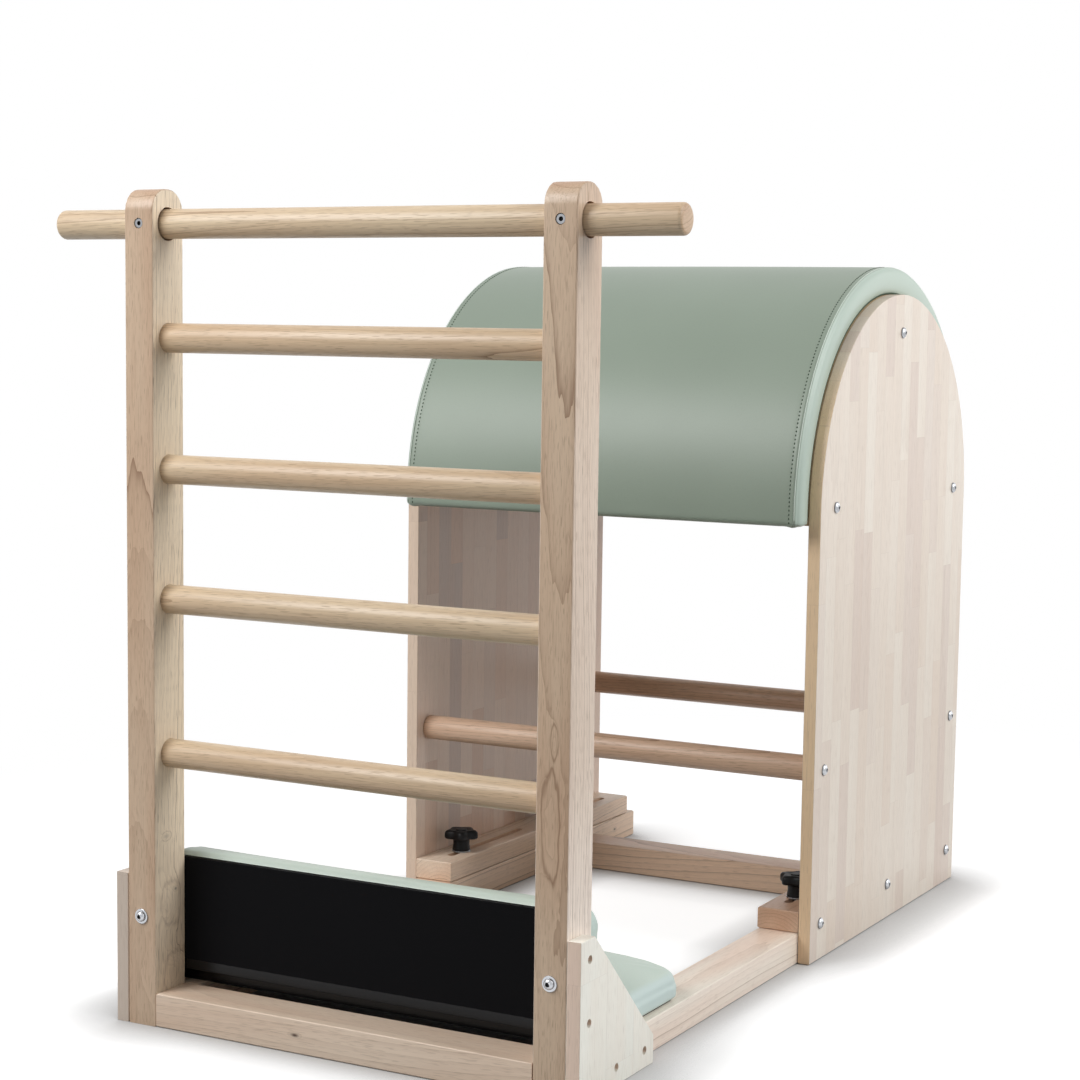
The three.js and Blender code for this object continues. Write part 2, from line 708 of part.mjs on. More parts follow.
// The bent plywood shell over the formers
function barrelShell() {
  const outline = archOutline(PANEL_RADIUS, cushionBottom, shellInner);
  const end = panelInner - SEAT_GAP;
  return sideSlab(outline, -end, 2 * end, 0);
}

// The section of the cushion across the barrel: up one end band, over its seam, the crown and the other seam.
// Each point is a place along X and a height over the shell.
function cushionSection() {
  const end = panelInner - SEAT_GAP;
  const half = BAND_SHARES.map(([height, bulge]) => [
    end + bulge * CUSHION_BAND_BULGE,
    height * CUSHION_THICKNESS,
  ]);
  const top = CUSHION_THICKNESS - CUSHION_CROWN;
  half.push([end, top - CUSHION_SEAM_DEPTH]);
  half.push([end - CUSHION_SEAM_INSET / 2, top]);
  half.push([end - CUSHION_SEAM_INSET, top - CUSHION_SEAM_DEPTH]);
  half.push([end - 2 * CUSHION_SEAM_INSET, top]);
  for (const share of CROWN_SHARES) {
    const x = (end - 2 * CUSHION_SEAM_INSET) * share;
    half.push([x, top + CUSHION_CROWN * (1 - share ** 2)]);
  }
  const mirrored = half.slice(0, -1).map(([x, t]) => [-x, t]);
  return [...half, ...mirrored.toReversed()];
}

// The half-round cushion: its section carried up one side, over the arch and down the other,
// with both lower lips rounded under
function cushion() {
  const section = cushionSection();
  const straight = CUSHION_DROP - CUSHION_LIP_RADIUS;
  const ringAt = (turn, drop, pinch) =>
    section.map(([x, t]) => {
      const radius = cushionInner + t * (1 - pinch);
      const y = BARREL_SETBACK + radius * Math.cos(turn);
      const z = ARCH_HEIGHT + radius * Math.sin(turn) - drop;
      return new THREE.Vector3(x, y, z);
    });
  const lip = (turn) =>
    Array.from({ length: LIP_FACETS + 1 }, (_, i) => {
      const roll = (Math.PI / 2) * (1 - i / LIP_FACETS);
      const pinch = (CUSHION_LIP_RADIUS / CUSHION_THICKNESS) * (1 - Math.cos(roll));
      return ringAt(turn, straight + CUSHION_LIP_RADIUS * Math.sin(roll), pinch);
    });
  const arch = Array.from({ length: ARCH_FACETS + 1 }, (_, i) =>
    ringAt((Math.PI * i) / ARCH_FACETS, 0, 0),
  );
  return loft([...lip(0), ...arch, ...lip(Math.PI).toReversed()]);
}

// A dowel between the panels, drilled at both ends for its bolts
function dowel(which) {
  const y = BARREL_SETBACK + which * DOWEL_SPREAD;
  const end = panelInner - SEAT_GAP;
  const body = solid(rod(-end, end, y, DOWEL_HEIGHT, ROD_RADIUS, DOWEL_CHAMFER));
  const bolt = panelBolts.find(([name]) => name === (which < 0 ? "dowel_front" : "dowel_rear"));
  return drilled(drilled(body, -1, bolt), 1, bolt);
}

// The slotted strip on the inside of a panel, which slides on the base rail
function slideStrip(side) {
  const low = side > 0 ? railInner : -stripOuter;
  const high = side > 0 ? stripOuter : -railInner;
  let body = solid(beam([low, panelFront, stripBottom], [high, stripRear, stripTop]));
  const radius = SLOT_WIDTH / 2;
  for (const start of slotStarts) {
    const slot = new THREE.Shape([
      ...arc(side * slotX, start + radius, radius, radius, Math.PI, 2 * Math.PI, SLOT_END_FACETS),
      ...arc(side * slotX, start + SLOT_LENGTH - radius, radius, radius, 0, Math.PI, SLOT_END_FACETS),
    ]);
    const cutter = slab(slot, STRIP_HEIGHT + 2 * CUT_OVERRUN, 0);
    body = body.subtract(solid(cutter.translate(0, 0, stripBottom - CUT_OVERRUN)));
  }
  return panelBolts.slice(-3).reduce((cut, bolt) => drilled(cut, side, bolt), body);
}

// Knobs and bolts

// A star knob with its moulded-in stud, standing on a washer over the slot
function clampKnob() {
  const washerTop = stripTop + 2 * SEAT_GAP + WASHER_THICKNESS;
  const headBottom = washerTop + KNOB_HUB_HEIGHT;
  const headTop = headBottom + KNOB_HEAD_HEIGHT;
  const count = KNOB_LOBES * LOBE_FACETS;
  const outline = new THREE.Shape(
    Array.from({ length: count }, (_, i) => {
      const turn = (2 * Math.PI * i) / count;
      const dip = (KNOB_LOBE_DEPTH * (1 - Math.cos(KNOB_LOBES * turn))) / 2;
      const radius = KNOB_RADIUS - dip;
      return new THREE.Vector2(radius * Math.cos(turn), radius * Math.sin(turn));
    }),
  );
  const head = solid(slab(outline, KNOB_HEAD_HEIGHT, KNOB_EDGE).translate(0, 0, headBottom));
  const hub = boreZ(washerTop, headBottom + KNOB_EDGE, 0, 0, KNOB_HUB_RADIUS);
  const stud = boreZ(railTop - STUD_LENGTH_IN_RAIL, headBottom, 0, 0, STUD_RADIUS, BOLT_FACETS);
  const cap = boreZ(headTop - KNOB_CAP_DEPTH, headTop + CUT_OVERRUN, 0, 0, KNOB_CAP_RADIUS);
  return head.add(hub).add(stud).subtract(cap);
}

// The washer under a knob
function knobWasher() {
  const bottom = stripTop + SEAT_GAP;
  const hole = STUD_RADIUS + WASHER_PLAY;
  return ring(hole, WASHER_RADIUS, bottom, bottom + WASHER_THICKNESS, WASHER_FACETS);
}

// A domed socket bolt along +Y: the underside of its head at zero, the shank towards +Y
function socketBolt(headRadius, shank, washer = 0) {
  const profile = [
    new THREE.Vector2(0, shank),
    new THREE.Vector2(BOLT_RADIUS, shank),
    new THREE.Vector2(BOLT_RADIUS, 0),
  ];
  if (washer) {
    profile.push(new THREE.Vector2(FOOT_WASHER_RADIUS, 0));
    profile.push(new THREE.Vector2(FOOT_WASHER_RADIUS, -washer));
  }
  profile.push(new THREE.Vector2(headRadius, -washer));
  for (const share of DOME_SHARES) {
    const radius = headRadius * Math.cos((Math.PI / 2) * share);
    profile.push(new THREE.Vector2(radius, -washer - BOLT_HEAD_HEIGHT * Math.sin((Math.PI / 2) * share)));
  }
  const top = -washer - BOLT_HEAD_HEIGHT;
  profile.push(new THREE.Vector2(BOLT_SOCKET_RADIUS, top));
  profile.push(new THREE.Vector2(BOLT_SOCKET_RADIUS, top + BOLT_SOCKET_DEPTH));
  profile.push(new THREE.Vector2(0, top + BOLT_SOCKET_DEPTH));
  return new THREE.LatheGeometry(profile.toReversed(), BOLT_FACETS);
}

// One panel bolt, its head on the outer face of the panel
function panelBolt(side, [, y, z, bite]) {
  const shank = BOARD_THICKNESS + bite + SEAT_GAP;
  return socketBolt(BOLT_HEAD_RADIUS, shank)
    .rotateZ((side * Math.PI) / 2)
    .translate(side * (panelOuter + SEAT_GAP), BARREL_SETBACK + y, z);
}

// The bolt and washer that hold the kick board through the foot of a post
function footBolt(side) {
  const shank = STOCK_WIDE + 2 * SEAT_GAP + FOOT_BOLT_BITE;
  return socketBolt(FOOT_BOLT_HEAD_RADIUS, shank, FOOT_WASHER_THICKNESS).translate(
    side * postMiddle,
    -SEAT_GAP,
    FOOT_BOLT_HEIGHT,
  );
}

// The cap screw that locks the top rail, sunk into the front of a post
function lockScrew(side) {
  const reach = postDepthMiddle - ROD_RADIUS - SEAT_GAP;
  const under = LOCK_HEAD_SINK + LOCK_HEAD_HEIGHT;
  const x = side * postMiddle;
  const head = boreY(LOCK_HEAD_SINK, under, x, topRailHeight, LOCK_HEAD_RADIUS);
  const shank = boreY(LOCK_HEAD_SINK + BOLT_SOCKET_DEPTH, reach, x, topRailHeight, BOLT_RADIUS);
  const socket = boreY(
    -CUT_OVERRUN,
    LOCK_HEAD_SINK + BOLT_SOCKET_DEPTH,
    x,
    topRailHeight,
    BOLT_SOCKET_RADIUS,
    HEX_SIDES,
  );
  return head.add(shank).subtract(socket);
}

// Assembly

const part = new THREE.Group();
const machine = new THREE.Group();
machine.position.y = -machineMiddle;
part.add(machine);
const sides = [
  ["left", -1],
  ["right", 1],
];

for (const [hand, side] of sides) {
  piece(machine, `post_${hand}`, post(side), timber);
  piece(machine, `gusset_${hand}`, gusset(side), panelTimber);
  piece(machine, `base_rail_${hand}`, baseRail(side), timber);
  piece(machine, `foot_bolt_${hand}`, footBolt(side), chrome);
  piece(machine, `lock_screw_${hand}`, lockScrew(side), chrome);
  piece(machine, `side_panel_${hand}`, sidePanel(side), panelTimber);
  piece(machine, `former_${hand}`, former(side), plywood);
  piece(machine, `slide_strip_${hand}`, slideStrip(side), timber);
  for (const bolt of panelBolts) {
    piece(machine, `panel_bolt_${bolt[0]}_${hand}`, panelBolt(side, bolt), chrome);
  }
  slotStarts.forEach((start, i) => {
    const place = `${["front", "rear"][i]}_${hand}`;
    const stand = new THREE.Group();
    stand.position.set(side * slotX, start + STUD_SETBACK, 0);
    if (side < 0) stand.rotation.z = Math.PI; // so that the left knobs mirror the right ones
    machine.add(stand);
    piece(stand, `clamp_knob_${place}`, clampKnob(), blackPlastic);
    piece(stand, `knob_washer_${place}`, knobWasher(), zinc);
    piece(stand, `rail_insert_${place}`, railInsert(), zinc);
  });
}
rungHeights.forEach((height, i) => {
  piece(machine, `rung_${i + 1}`, rung(height), rodTimber);
});
piece(machine, "top_rail", topRail(), rodTimber);
piece(machine, "front_sill", frontSill(), timber);
piece(machine, "rear_beam", rearBeam(), timber);
piece(machine, "platform_board", platformBoard(), blackCover);
piece(machine, "platform_pad", platformPad(), padCover);
piece(machine, "kick_board", kickBoard(), blackCover);
piece(machine, "kick_pad", kickPad(), padCover);
piece(machine, "barrel_shell", barrelShell(), plywood);
piece(machine, "barrel_cushion", cushion(), barrelCover);
piece(machine, "dowel_front", dowel(-1), rodTimber);
piece(machine, "dowel_rear", dowel(1), rodTimber);

export default part;
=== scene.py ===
# The looks of a ladder barrel: lacquered timber, laminated panels, a padded half barrel and a padded step.
# Metres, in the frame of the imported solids: X across the ladder, Y from the ladder to the barrel, Z up.
import math

import bmesh
import bpy
import numpy as np
from mathutils import Matrix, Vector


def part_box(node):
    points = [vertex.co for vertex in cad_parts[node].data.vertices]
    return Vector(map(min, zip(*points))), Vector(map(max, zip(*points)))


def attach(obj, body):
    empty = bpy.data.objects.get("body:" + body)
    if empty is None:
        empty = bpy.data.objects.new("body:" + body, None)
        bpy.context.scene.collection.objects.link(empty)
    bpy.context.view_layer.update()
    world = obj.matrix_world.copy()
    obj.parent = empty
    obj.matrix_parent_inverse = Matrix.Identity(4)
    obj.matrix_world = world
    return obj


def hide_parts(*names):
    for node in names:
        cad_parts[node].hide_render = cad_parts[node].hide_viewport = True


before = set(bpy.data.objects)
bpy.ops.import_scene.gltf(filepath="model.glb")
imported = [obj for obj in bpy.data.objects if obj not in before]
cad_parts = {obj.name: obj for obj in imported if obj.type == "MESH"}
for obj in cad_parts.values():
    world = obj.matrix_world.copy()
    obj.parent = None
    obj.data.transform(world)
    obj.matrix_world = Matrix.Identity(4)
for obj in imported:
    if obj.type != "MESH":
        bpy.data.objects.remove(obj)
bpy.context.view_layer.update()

scene = bpy.context.scene
MM = 0.001


def ends(node):
    """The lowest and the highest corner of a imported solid, as two arrays."""
    low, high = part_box(node)
    return np.array(low), np.array(high)


LADDER_FRONT = ends("post_right")[0][1]
PANEL_LOW, PANEL_HIGH = ends("side_panel_right")
BARREL_Y = (PANEL_LOW[1] + PANEL_HIGH[1]) / 2
PANEL_RADIUS = (PANEL_HIGH[1] - PANEL_LOW[1]) / 2
ARCH_Z = PANEL_HIGH[2] - PANEL_RADIUS
CUSHION_CROWN = 1 * MM
SEAT = 0.3 * MM  # the gap that the solids leave between two pieces that rest on each other
SIDES = {"left": -1, "right": 1}


def linked(name, data):
    """A new object in the scene."""
    made = bpy.data.objects.new(name, data)
    scene.collection.objects.link(made)
    return made


def standing(place, x, y, z):
    """The matrix that puts an object at a place, with its own three axes along three directions."""
    return Matrix.Translation(place) @ Matrix(np.stack([x, y, z], axis=1).tolist()).to_4x4()


# Camera, at the place from which the photograph was taken

CAMERA_PLACE = (1.5816, LADDER_FRONT - 2.3870, 0.9290)
CAMERA_ANGLES = (28.43, 6.18, 0.77)  # azimuth, elevation and roll, in degrees
CAMERA_LENS = 77.745
CAMERA_SHIFT = (-0.0037, 0.0319)


def photo_camera():
    """The camera stands where the straight edges of the machine put it, and is turned by three angles."""
    azimuth, elevation, roll = (math.radians(v) for v in CAMERA_ANGLES)
    level = math.cos(elevation)
    ahead = np.array([-math.sin(azimuth) * level, math.cos(azimuth) * level, -math.sin(elevation)])
    side = np.array([math.cos(azimuth), math.sin(azimuth), 0])
    up = np.cross(side, ahead)
    right = side * math.cos(roll) + up * math.sin(roll)
    top = up * math.cos(roll) - side * math.sin(roll)
    data = bpy.data.cameras.new("photo_camera")
    data.lens = CAMERA_LENS
    data.shift_x, data.shift_y = CAMERA_SHIFT
    data.clip_end = 60
    camera = linked("photo_camera", data)
    camera.matrix_world = standing(CAMERA_PLACE, right, top, -ahead)
    scene.camera = camera


# Shader maths


def operator(operation, flip=False):
    """One of Python's operators as a Math node, with its two terms the other way round if it is flipped."""

    def apply(wire, other):
        return wire.maths(operation, *((other, wire) if flip else (wire, other)))

    return apply


class Wire:
    """An output of a shader node. Python's operators on it add Math nodes."""

    def __init__(self, nodes, socket):
        self.nodes = nodes
        self.socket = socket

    def maths(self, operation, *terms):
        return self.nodes.node("Math", {"operation": operation}, dict(enumerate(terms)))

    __add__ = __radd__ = operator("ADD")
    __sub__ = operator("SUBTRACT")
    __rsub__ = operator("SUBTRACT", flip=True)
    __mul__ = __rmul__ = operator("MULTIPLY")
    __truediv__ = operator("DIVIDE")
    __pow__ = operator("POWER")

    def floor(self):
        return self.maths("FLOOR", self)

    def fract(self):
        return self.maths("FRACT", self)

    def size(self):
        return self.maths("ABSOLUTE", self)

    def bell(self):
        """A bell curve: 1 where the value is 0, falling on both sides of it."""
        fall = self * self * -1
        return fall.maths("EXPONENT", fall)

    def smooth(self, low, high):
        """0 below low, 1 above high, and an S curve between them."""
        sockets = {"Value": self, "From Min": low, "From Max": high}
        return self.nodes.node("MapRange", {"interpolation_type": "SMOOTHSTEP"}, sockets)


def colour(red, green, blue):
    """A colour as a screen shows it, from 0 to 255, as the linear colour that the nodes use."""
    value = np.array([red, green, blue]) / 255
    linear = np.where(value <= 0.04045, value / 12.92, ((value + 0.055) / 1.055) ** 2.4)
    return (*linear.clip(0, 1).tolist(), 1.0)


class Nodes:
    """A tree of shader nodes: node() adds one, feed() fills a socket, and show() puts out a shader."""

    def __init__(self, tree):
        self.tree = tree

    def node(self, kind, settings=None, sockets=None, output=0):
        """Adds a node: its settings come first, then the value or the wire of each socket."""
        made = self.tree.nodes.new("ShaderNode" + kind)
        for key, value in (settings or {}).items():
            setattr(made, key, value)
        for key, value in (sockets or {}).items():
            self.feed(made.inputs[key], value)
        return Wire(self, made.outputs[output])

    def feed(self, socket, value):
        if isinstance(value, Wire):
            self.tree.links.new(value.socket, socket)
        else:
            socket.default_value = value

    def show(self, shader, output):
        self.feed(self.tree.nodes[output].inputs["Surface"], shader)


class Finish(Nodes):
    """One material: surface() feeds its surface shader."""

    def __init__(self, name):
        self.material = bpy.data.materials.new(name)
        self.material.use_nodes = True
        super().__init__(self.material.node_tree)
        self.shader = self.tree.nodes["Principled BSDF"]
        self.place = self.node("TexCoord", output="Object")

    def vector(self, x, y, z):
        return self.node("CombineXYZ", {}, {0: x, 1: y, 2: z})

    def parts(self, vector):
        split = self.node("SeparateXYZ", {}, {0: vector}).socket.node
        return [Wire(self, socket) for socket in split.outputs]

    def noise(self, vector, scale=1.0, detail=2.0, rough=0.5):
        sockets = {"Vector": vector, "Scale": scale, "Detail": detail, "Roughness": rough}
        return self.node("TexNoise", {}, sockets)

    def chances(self, x, y, z):
        """Three numbers from 0 to 1 that are the same all over a cell."""
        cell = self.vector(x, y, z)
        return self.parts(self.node("TexWhiteNoise", {}, {"Vector": cell}, output="Color"))

    def mix(self, share, first, second, way="MIX"):
        settings = {"data_type": "RGBA", "blend_type": way}
        return self.node("Mix", settings, {0: share, 6: first, 7: second}, output=2)

    def surface(self, relief=None, **sockets):
        """Feeds the surface shader; relief is a height, the share of it that shows, and its depth."""
        for key, value in sockets.items():
            self.feed(self.shader.inputs[key.replace("_", " ")], value)
        if relief:
            height, strength, depth = relief
            bump = {"Height": height, "Strength": strength, "Distance": depth}
            self.feed(self.shader.inputs["Normal"], self.node("Bump", {}, bump))
        return self.material


# Wood

GRAIN = {"x": (0, 1, 2), "y": (1, 0, 2), "z": (2, 0, 1)}  # the grain's axis first, then the two across it
MILK = (231, 221, 208)
HONEY = (220, 199, 168)
SAND = (210, 186, 160)
CREAM = (237, 217, 196)
BARK = (220, 188, 162)
IVORY = (255, 249, 238)
SHELL = (255, 240, 226)
TAUPE = (238, 216, 199)
PEBBLE = (228, 214, 200)
BLOCK_LENGTH = 0.27  # of the blocks in a stave
VENEER = 1.5 * MM


def tones(wood):
    """The early wood of a kind of timber, the redder wood beside it, and its late wood."""
    red, green, blue = wood
    early = colour(red * 1.03, green * 1.03, blue * 1.03)
    return early, colour(red * 0.97, green * 0.92, blue * 0.89), colour(red * 0.6, green * 0.49, blue * 0.4)


def figures(wood, u, v, w, spots):
    """Marks of the grain at set places: the swelling of the rings, their dark rims, and the knots.

    The way from a mark's middle is shortened along the grain, measured in the mark's size and made uneven
    by a noise. The swelling and the knot are bell curves of it, and the rim is a narrow one about 1.
    """
    swell, rims, core = 0, 0, 0
    wave = (wood.noise(wood.vector(u * 20, v * 70, w * 70), 1, 2) - 0.5) * 0.9
    for along, first, second, size, stretch, rim, dark in spots:
        far = (((u - along) / stretch) ** 2 + (v - first) ** 2 + (w - second) ** 2) ** 0.5 / size + wave
        swell = far.bell() * (1.6 * size) + swell
        if rim:
            rims = ((far - 1) * 9).bell() * rim + rims
        if dark:
            core = (far * 2).bell() * dark + core
    return swell, rims, core


def year_rings(wood, u, v, w, seed, pitch, sway, swell=0):
    """Masks of a board whose heart runs along u: its late wood, its pores, its fibres and a slow drift.

    The distance from the heart is bent by a slow noise and made ragged by a fine one. What is left of it
    over the pitch rises to a thin line at the end of each ring, which chance makes strong or faint. Pores
    are short dashes, a noise drawn out along the grain.
    """
    bend = wood.noise(wood.vector(u * 1.3 + seed, v * 5, w * 5), 1, 1) - 0.5
    ragged = wood.noise(wood.vector(u * 10, v * 100 + seed, w * 100), 1, 1, 0.6) - 0.5
    reach = (v * v + w * w) ** 0.5 + bend * sway + ragged * (2.6 * MM) + swell
    ring = reach / pitch + seed
    strength = wood.chances(ring.floor(), seed, 1.5)[0]
    within = ring.fract()
    late = within**10 * (strength**3 * 0.9 + 0.1) + within * 0.12
    pores = wood.noise(wood.vector(u * 55, v * 1000 + seed, w * 1000), 1, 0).smooth(0.6, 0.74)
    fibres = wood.noise(wood.vector(u * 6 + seed, v * 300, w * 300), 1, 1)
    drift = wood.noise(wood.vector(u * 2.2, v * 24 + seed, w * 24), 1, 1).smooth(0.25, 0.75)
    return late, pores, fibres, drift


def lacquered(wood, along, masks, shades, joint=None, core=None, flank=None, end=0.5, fine=1.0):
    """Colours the masks of the rings, darkens end grain, and lays a satin lacquer over them.

    The faces that look along one axis can have another tone, partly the other look of their grain and mostly
    painted light, paler or darker as light falls on those faces: a flank is that axis, the share of the tone,
    and the tone.
    """
    light, pink, dark = shades
    late, pores, fibres, drift = masks
    tone = wood.mix(drift * 0.85, light, pink)
    facing = wood.parts(wood.node("TexCoord", output="Normal"))
    if flank:
        axis, share, other = flank
        # Painted light: the faces along the flank's axis take its tone.
        tone = wood.mix(facing[axis].size().smooth(0.6, 0.95) * share, tone, colour(*other))
    tone = wood.mix(late * 0.85, tone, dark)
    tone = wood.mix((fibres - 0.5).size() * (0.65 * fine), tone, dark)
    tone = wood.mix(pores * (0.32 * fine), tone, colour(120, 92, 68))
    sawn = facing[GRAIN[along][0]].size().smooth(0.62, 0.92)
    tone = wood.mix(sawn * end, tone, colour(222, 196, 176), "MULTIPLY")
    if joint is not None:
        tone = wood.mix(joint, tone, colour(128, 100, 78), "MULTIPLY")
    if core is not None:
        tone = wood.mix(core, tone, colour(74, 50, 36))
    gloss = late * 0.1 + pores * 0.15 + 0.36
    return wood.surface(relief=(pores * -1.0, 0.25, 0.15 * MM), Base_Color=tone, Roughness=gloss)


def timber(name, along, heart, seed, kind, pitch=9 * MM, sway=0.05, spots=(), lean=(0, 0), fade=(), **looks):
    """Solid timber whose grain runs along one axis, cut beside a heart at two places across that axis.

    Where the heart leans, its two places shift by that share of the way along the grain, and the rings that a
    face then cuts across show as long arches. The painted light of the flanks can fade in, each time by a
    share, between two places along the grain.
    """
    wood = Finish(name)
    place = wood.parts(wood.place)
    u, v, w = (place[i] for i in GRAIN[along])
    swell, rims, core = figures(wood, u, v, w, spots)
    if fade:
        axis, _, tone = looks["flank"]
        share = sum(u.smooth(start, stop) * part for start, stop, part in fade)
        looks["flank"] = (axis, share, tone)
    v, w = v - heart[0] - u * lean[0], w - heart[1] - u * lean[1]
    late, *others = year_rings(wood, u, v, w, seed, pitch, sway, swell)
    core = core if isinstance(core, Wire) else None
    return lacquered(wood, along, (late + rims, *others), tones(kind), core=core, **looks)


def laminated(name, seed, kind, width=37 * MM, contrast=1.0, **looks):
    """Board glued up from upright staves: each stave is a run of blocks, and each block has its own tone.

    A cell's number is the rounded-down place over the stave's width and, shifted by chance from stave to
    stave, over the block's length. White noise on that number moves the heart of the block and sets its
    tone.
    """
    wood = Finish(name)
    w, v, u = wood.parts(wood.place)
    stave = v / width + seed
    column = stave.floor()
    shift = wood.chances(column, seed, 3.7)[0]
    run = u / BLOCK_LENGTH + shift * 5
    first, second, third = wood.chances(column, run.floor(), seed)
    side = v - (column - seed + 0.5) * width + (second - 0.5) * 0.16
    masks = year_rings(wood, u + first * 7, side, w + third * 0.07 + 0.35, seed, 6 * MM, 0.03)
    late, pores, fibres, drift = masks
    light, pink, dark = tones(kind)
    pale = wood.mix(first.smooth(0.1, 1) * (0.5 * contrast), light, pink)
    body = wood.mix(second.smooth(0.72, 0.95) * (0.5 * contrast), pale, colour(214, 194, 183))
    joint = (stave.fract() - 0.5).size().smooth(0.484, 0.5) * 0.14
    joint = joint + (run.fract() - 0.5).size().smooth(0.498, 0.5) * 0.12
    masks = late * 0.2, pores * 0.5, (fibres - 0.5) * 0.45 + 0.5, drift * 0.3
    return lacquered(wood, "z", masks, (body, pink, dark), joint, fine=0.8, **looks)


def plywood(name, seed, flat=False):
    """Thin veneers glued crosswise: across the layers, light and dark bands follow each other.

    The layers are flat, or else they follow the arch of the barrel.
    """
    wood = Finish(name)
    x, y, z = wood.parts(wood.place)
    depth = x if flat else ((y - BARREL_Y) ** 2 + (z - ARCH_Z) ** 2) ** 0.5
    band = (depth / VENEER * 0.5).fract().smooth(0.4, 0.6)
    fibre = wood.noise(wood.vector(x * 30 + seed, y * 260, z * 260), 1, 1)
    flame = wood.noise(wood.vector(x * 3, y * 12, z * 12), 1, 2)
    tone = wood.mix(flame, colour(214, 190, 154), colour(190, 158, 120))
    tone = wood.mix(band * 0.35, tone, colour(150, 112, 76))
    tone = wood.mix(fibre.smooth(0.5, 0.75) * 0.4, tone, colour(160, 124, 90))
    gloss = flame * 0.1 + 0.55
    return wood.surface(relief=(fibre, 0.25, 0.3 * MM), Base_Color=tone, Roughness=gloss)


# Covers, plastic and metal


def shaded(main, scale):
    """A colour made darker or lighter."""
    return (*(min(1, c * scale) for c in main[:3]), 1.0)


def vinyl(name, main, seed, rough=0.42, shine=0.5, band=None):
    """Smooth upholstery vinyl: fine creases in its gloss over slow clouds of tone.

    Its faces at the ends of the barrel or of a pad can get another tone, which is painted light: paler on the
    barrel's ends, where light falls on them, and darker on the pads' sides. Those of the barrel get painted
    shade where they meet the panels, less than about 2 mm from the arch.
    """
    cover = Finish(name)
    cloud = cover.noise(cover.place, 5 + seed, 2)
    crease = cover.noise(cover.place, 520, 2)
    tone = cover.mix(cloud.smooth(0.3, 0.7), shaded(main, 0.95), main)
    tone = cover.mix(crease.smooth(0.5, 0.8) * 0.1, tone, shaded(main, 0.6))
    if band:
        facing = cover.parts(cover.node("TexCoord", output="Normal"))[0].size()
        _, y, z = cover.parts(cover.place)
        rise = (z - ARCH_Z).maths("MAXIMUM", z - ARCH_Z, 0)
        depth = ((y - BARREL_Y) ** 2 + rise**2) ** 0.5 - PANEL_RADIUS
        # Painted light: the end faces take the band's tone.
        tone = cover.mix(facing.smooth(0.25, 0.8), tone, band)
        # Painted shade where the barrel's end faces meet the panels.
        gap = facing.smooth(0.1, 0.4) * depth.smooth(2.5 * MM, 0.5 * MM)
        tone = cover.mix(gap * 0.8, tone, shaded(main, 0.12))
    cover.shader.inputs["Specular IOR Level"].default_value = shine
    gloss = crease * 0.1 + (rough - 0.05)
    return cover.surface(relief=(crease, 0.12, 0.2 * MM), Base_Color=tone, Roughness=gloss)


def plastic(name, main, rough):
    """Moulded plastic with a fine spark-eroded grain."""
    moulded = Finish(name)
    moulded.shader.inputs["Specular IOR Level"].default_value = 0.2
    grain = moulded.noise(moulded.place, 700, 2)
    wear = moulded.noise(moulded.place, 60, 2).smooth(0.55, 0.75)
    return moulded.surface(
        relief=(grain, 0.3, 0.15 * MM),
        Base_Color=moulded.mix(wear * 0.35, main, shaded(main, 2)),
        Roughness=grain * 0.14 + (rough - 0.07),
    )


def metal(name, main, rough, scratch):
    """Plated steel: fine scratches in its gloss, and painted shade, darker and rougher, in the recesses that
    an attribute marks.
    """
    plated = Finish(name)
    streak = plated.noise(plated.place, 420, 2)
    cloud = plated.noise(plated.place, 90, 1)
    # Painted shade in the recesses that the attribute marks.
    painted_recess_shade = plated.node("Attribute", {"attribute_name": "painted_recess_shade"}, output="Fac")
    tone = plated.mix(cloud * 0.25, main, shaded(main, 0.8))
    return plated.surface(
        relief=(streak, scratch, 0.05 * MM),
        Base_Color=plated.mix(painted_recess_shade, tone, shaded(main, 0.06)),
        Metallic=1.0,
        Roughness=streak * 0.12 + painted_recess_shade * 0.3 + (rough - 0.06),
    )


# The band colours are painted light: paler ends on the barrel, darker sides on the pads.
sage = vinyl("sage_vinyl", colour(145, 158, 143), 0, band=colour(186, 202, 190))
pale_sage = vinyl("pale_sage_vinyl", colour(212, 227, 217), 1, band=colour(197, 214, 210))
# The step pad's pale sage vinyl, darkened as painted shade for the kick pad.
shaded_kick_sage = vinyl("kick_sage_painted_shade", colour(192, 205, 194), 8, band=colour(186, 204, 197))
thread = vinyl("sage_thread", colour(66, 82, 66), 3, 0.6, 0.2)
# A pale bead on the seam's fold: painted highlight.
seam_highlight_vinyl = vinyl("sage_seam_painted_highlight", colour(206, 218, 207), 4)
# A dark bead in the seam's groove: painted shade.
seam_shade_vinyl = vinyl("sage_seam_painted_shade", colour(84, 98, 84), 6, 0.6, 0.2)
black_gloss = vinyl("black_gloss_vinyl", colour(12, 12, 14), 7, 0.24, 0.22)
black_cloth = vinyl("black_dust_cover", colour(13, 13, 15), 5, 0.75, 0.06)
black_plastic = plastic("black_plastic", colour(12, 12, 13), 0.45)
chrome = metal("chrome_plate", colour(186, 188, 192), 0.2, 0.1)
zinc = metal("zinc_plate", colour(178, 180, 184), 0.32, 0.25)


# Meshes


def around(count):
    """Angles at even steps round a circle."""
    return np.linspace(0, 2 * np.pi, count, endpoint=False)


def ring_faces(rings, count):
    """The quads between neighbouring rings of points, each of which closes on itself."""
    i, j = np.arange(rings - 1)[:, None], np.arange(count)[None, :]
    on = (j + 1) % count
    corners = [i * count + j, i * count + on, (i + 1) * count + on, (i + 1) * count + j]
    return np.stack(np.broadcast_arrays(*corners), axis=-1).reshape(-1, 4)


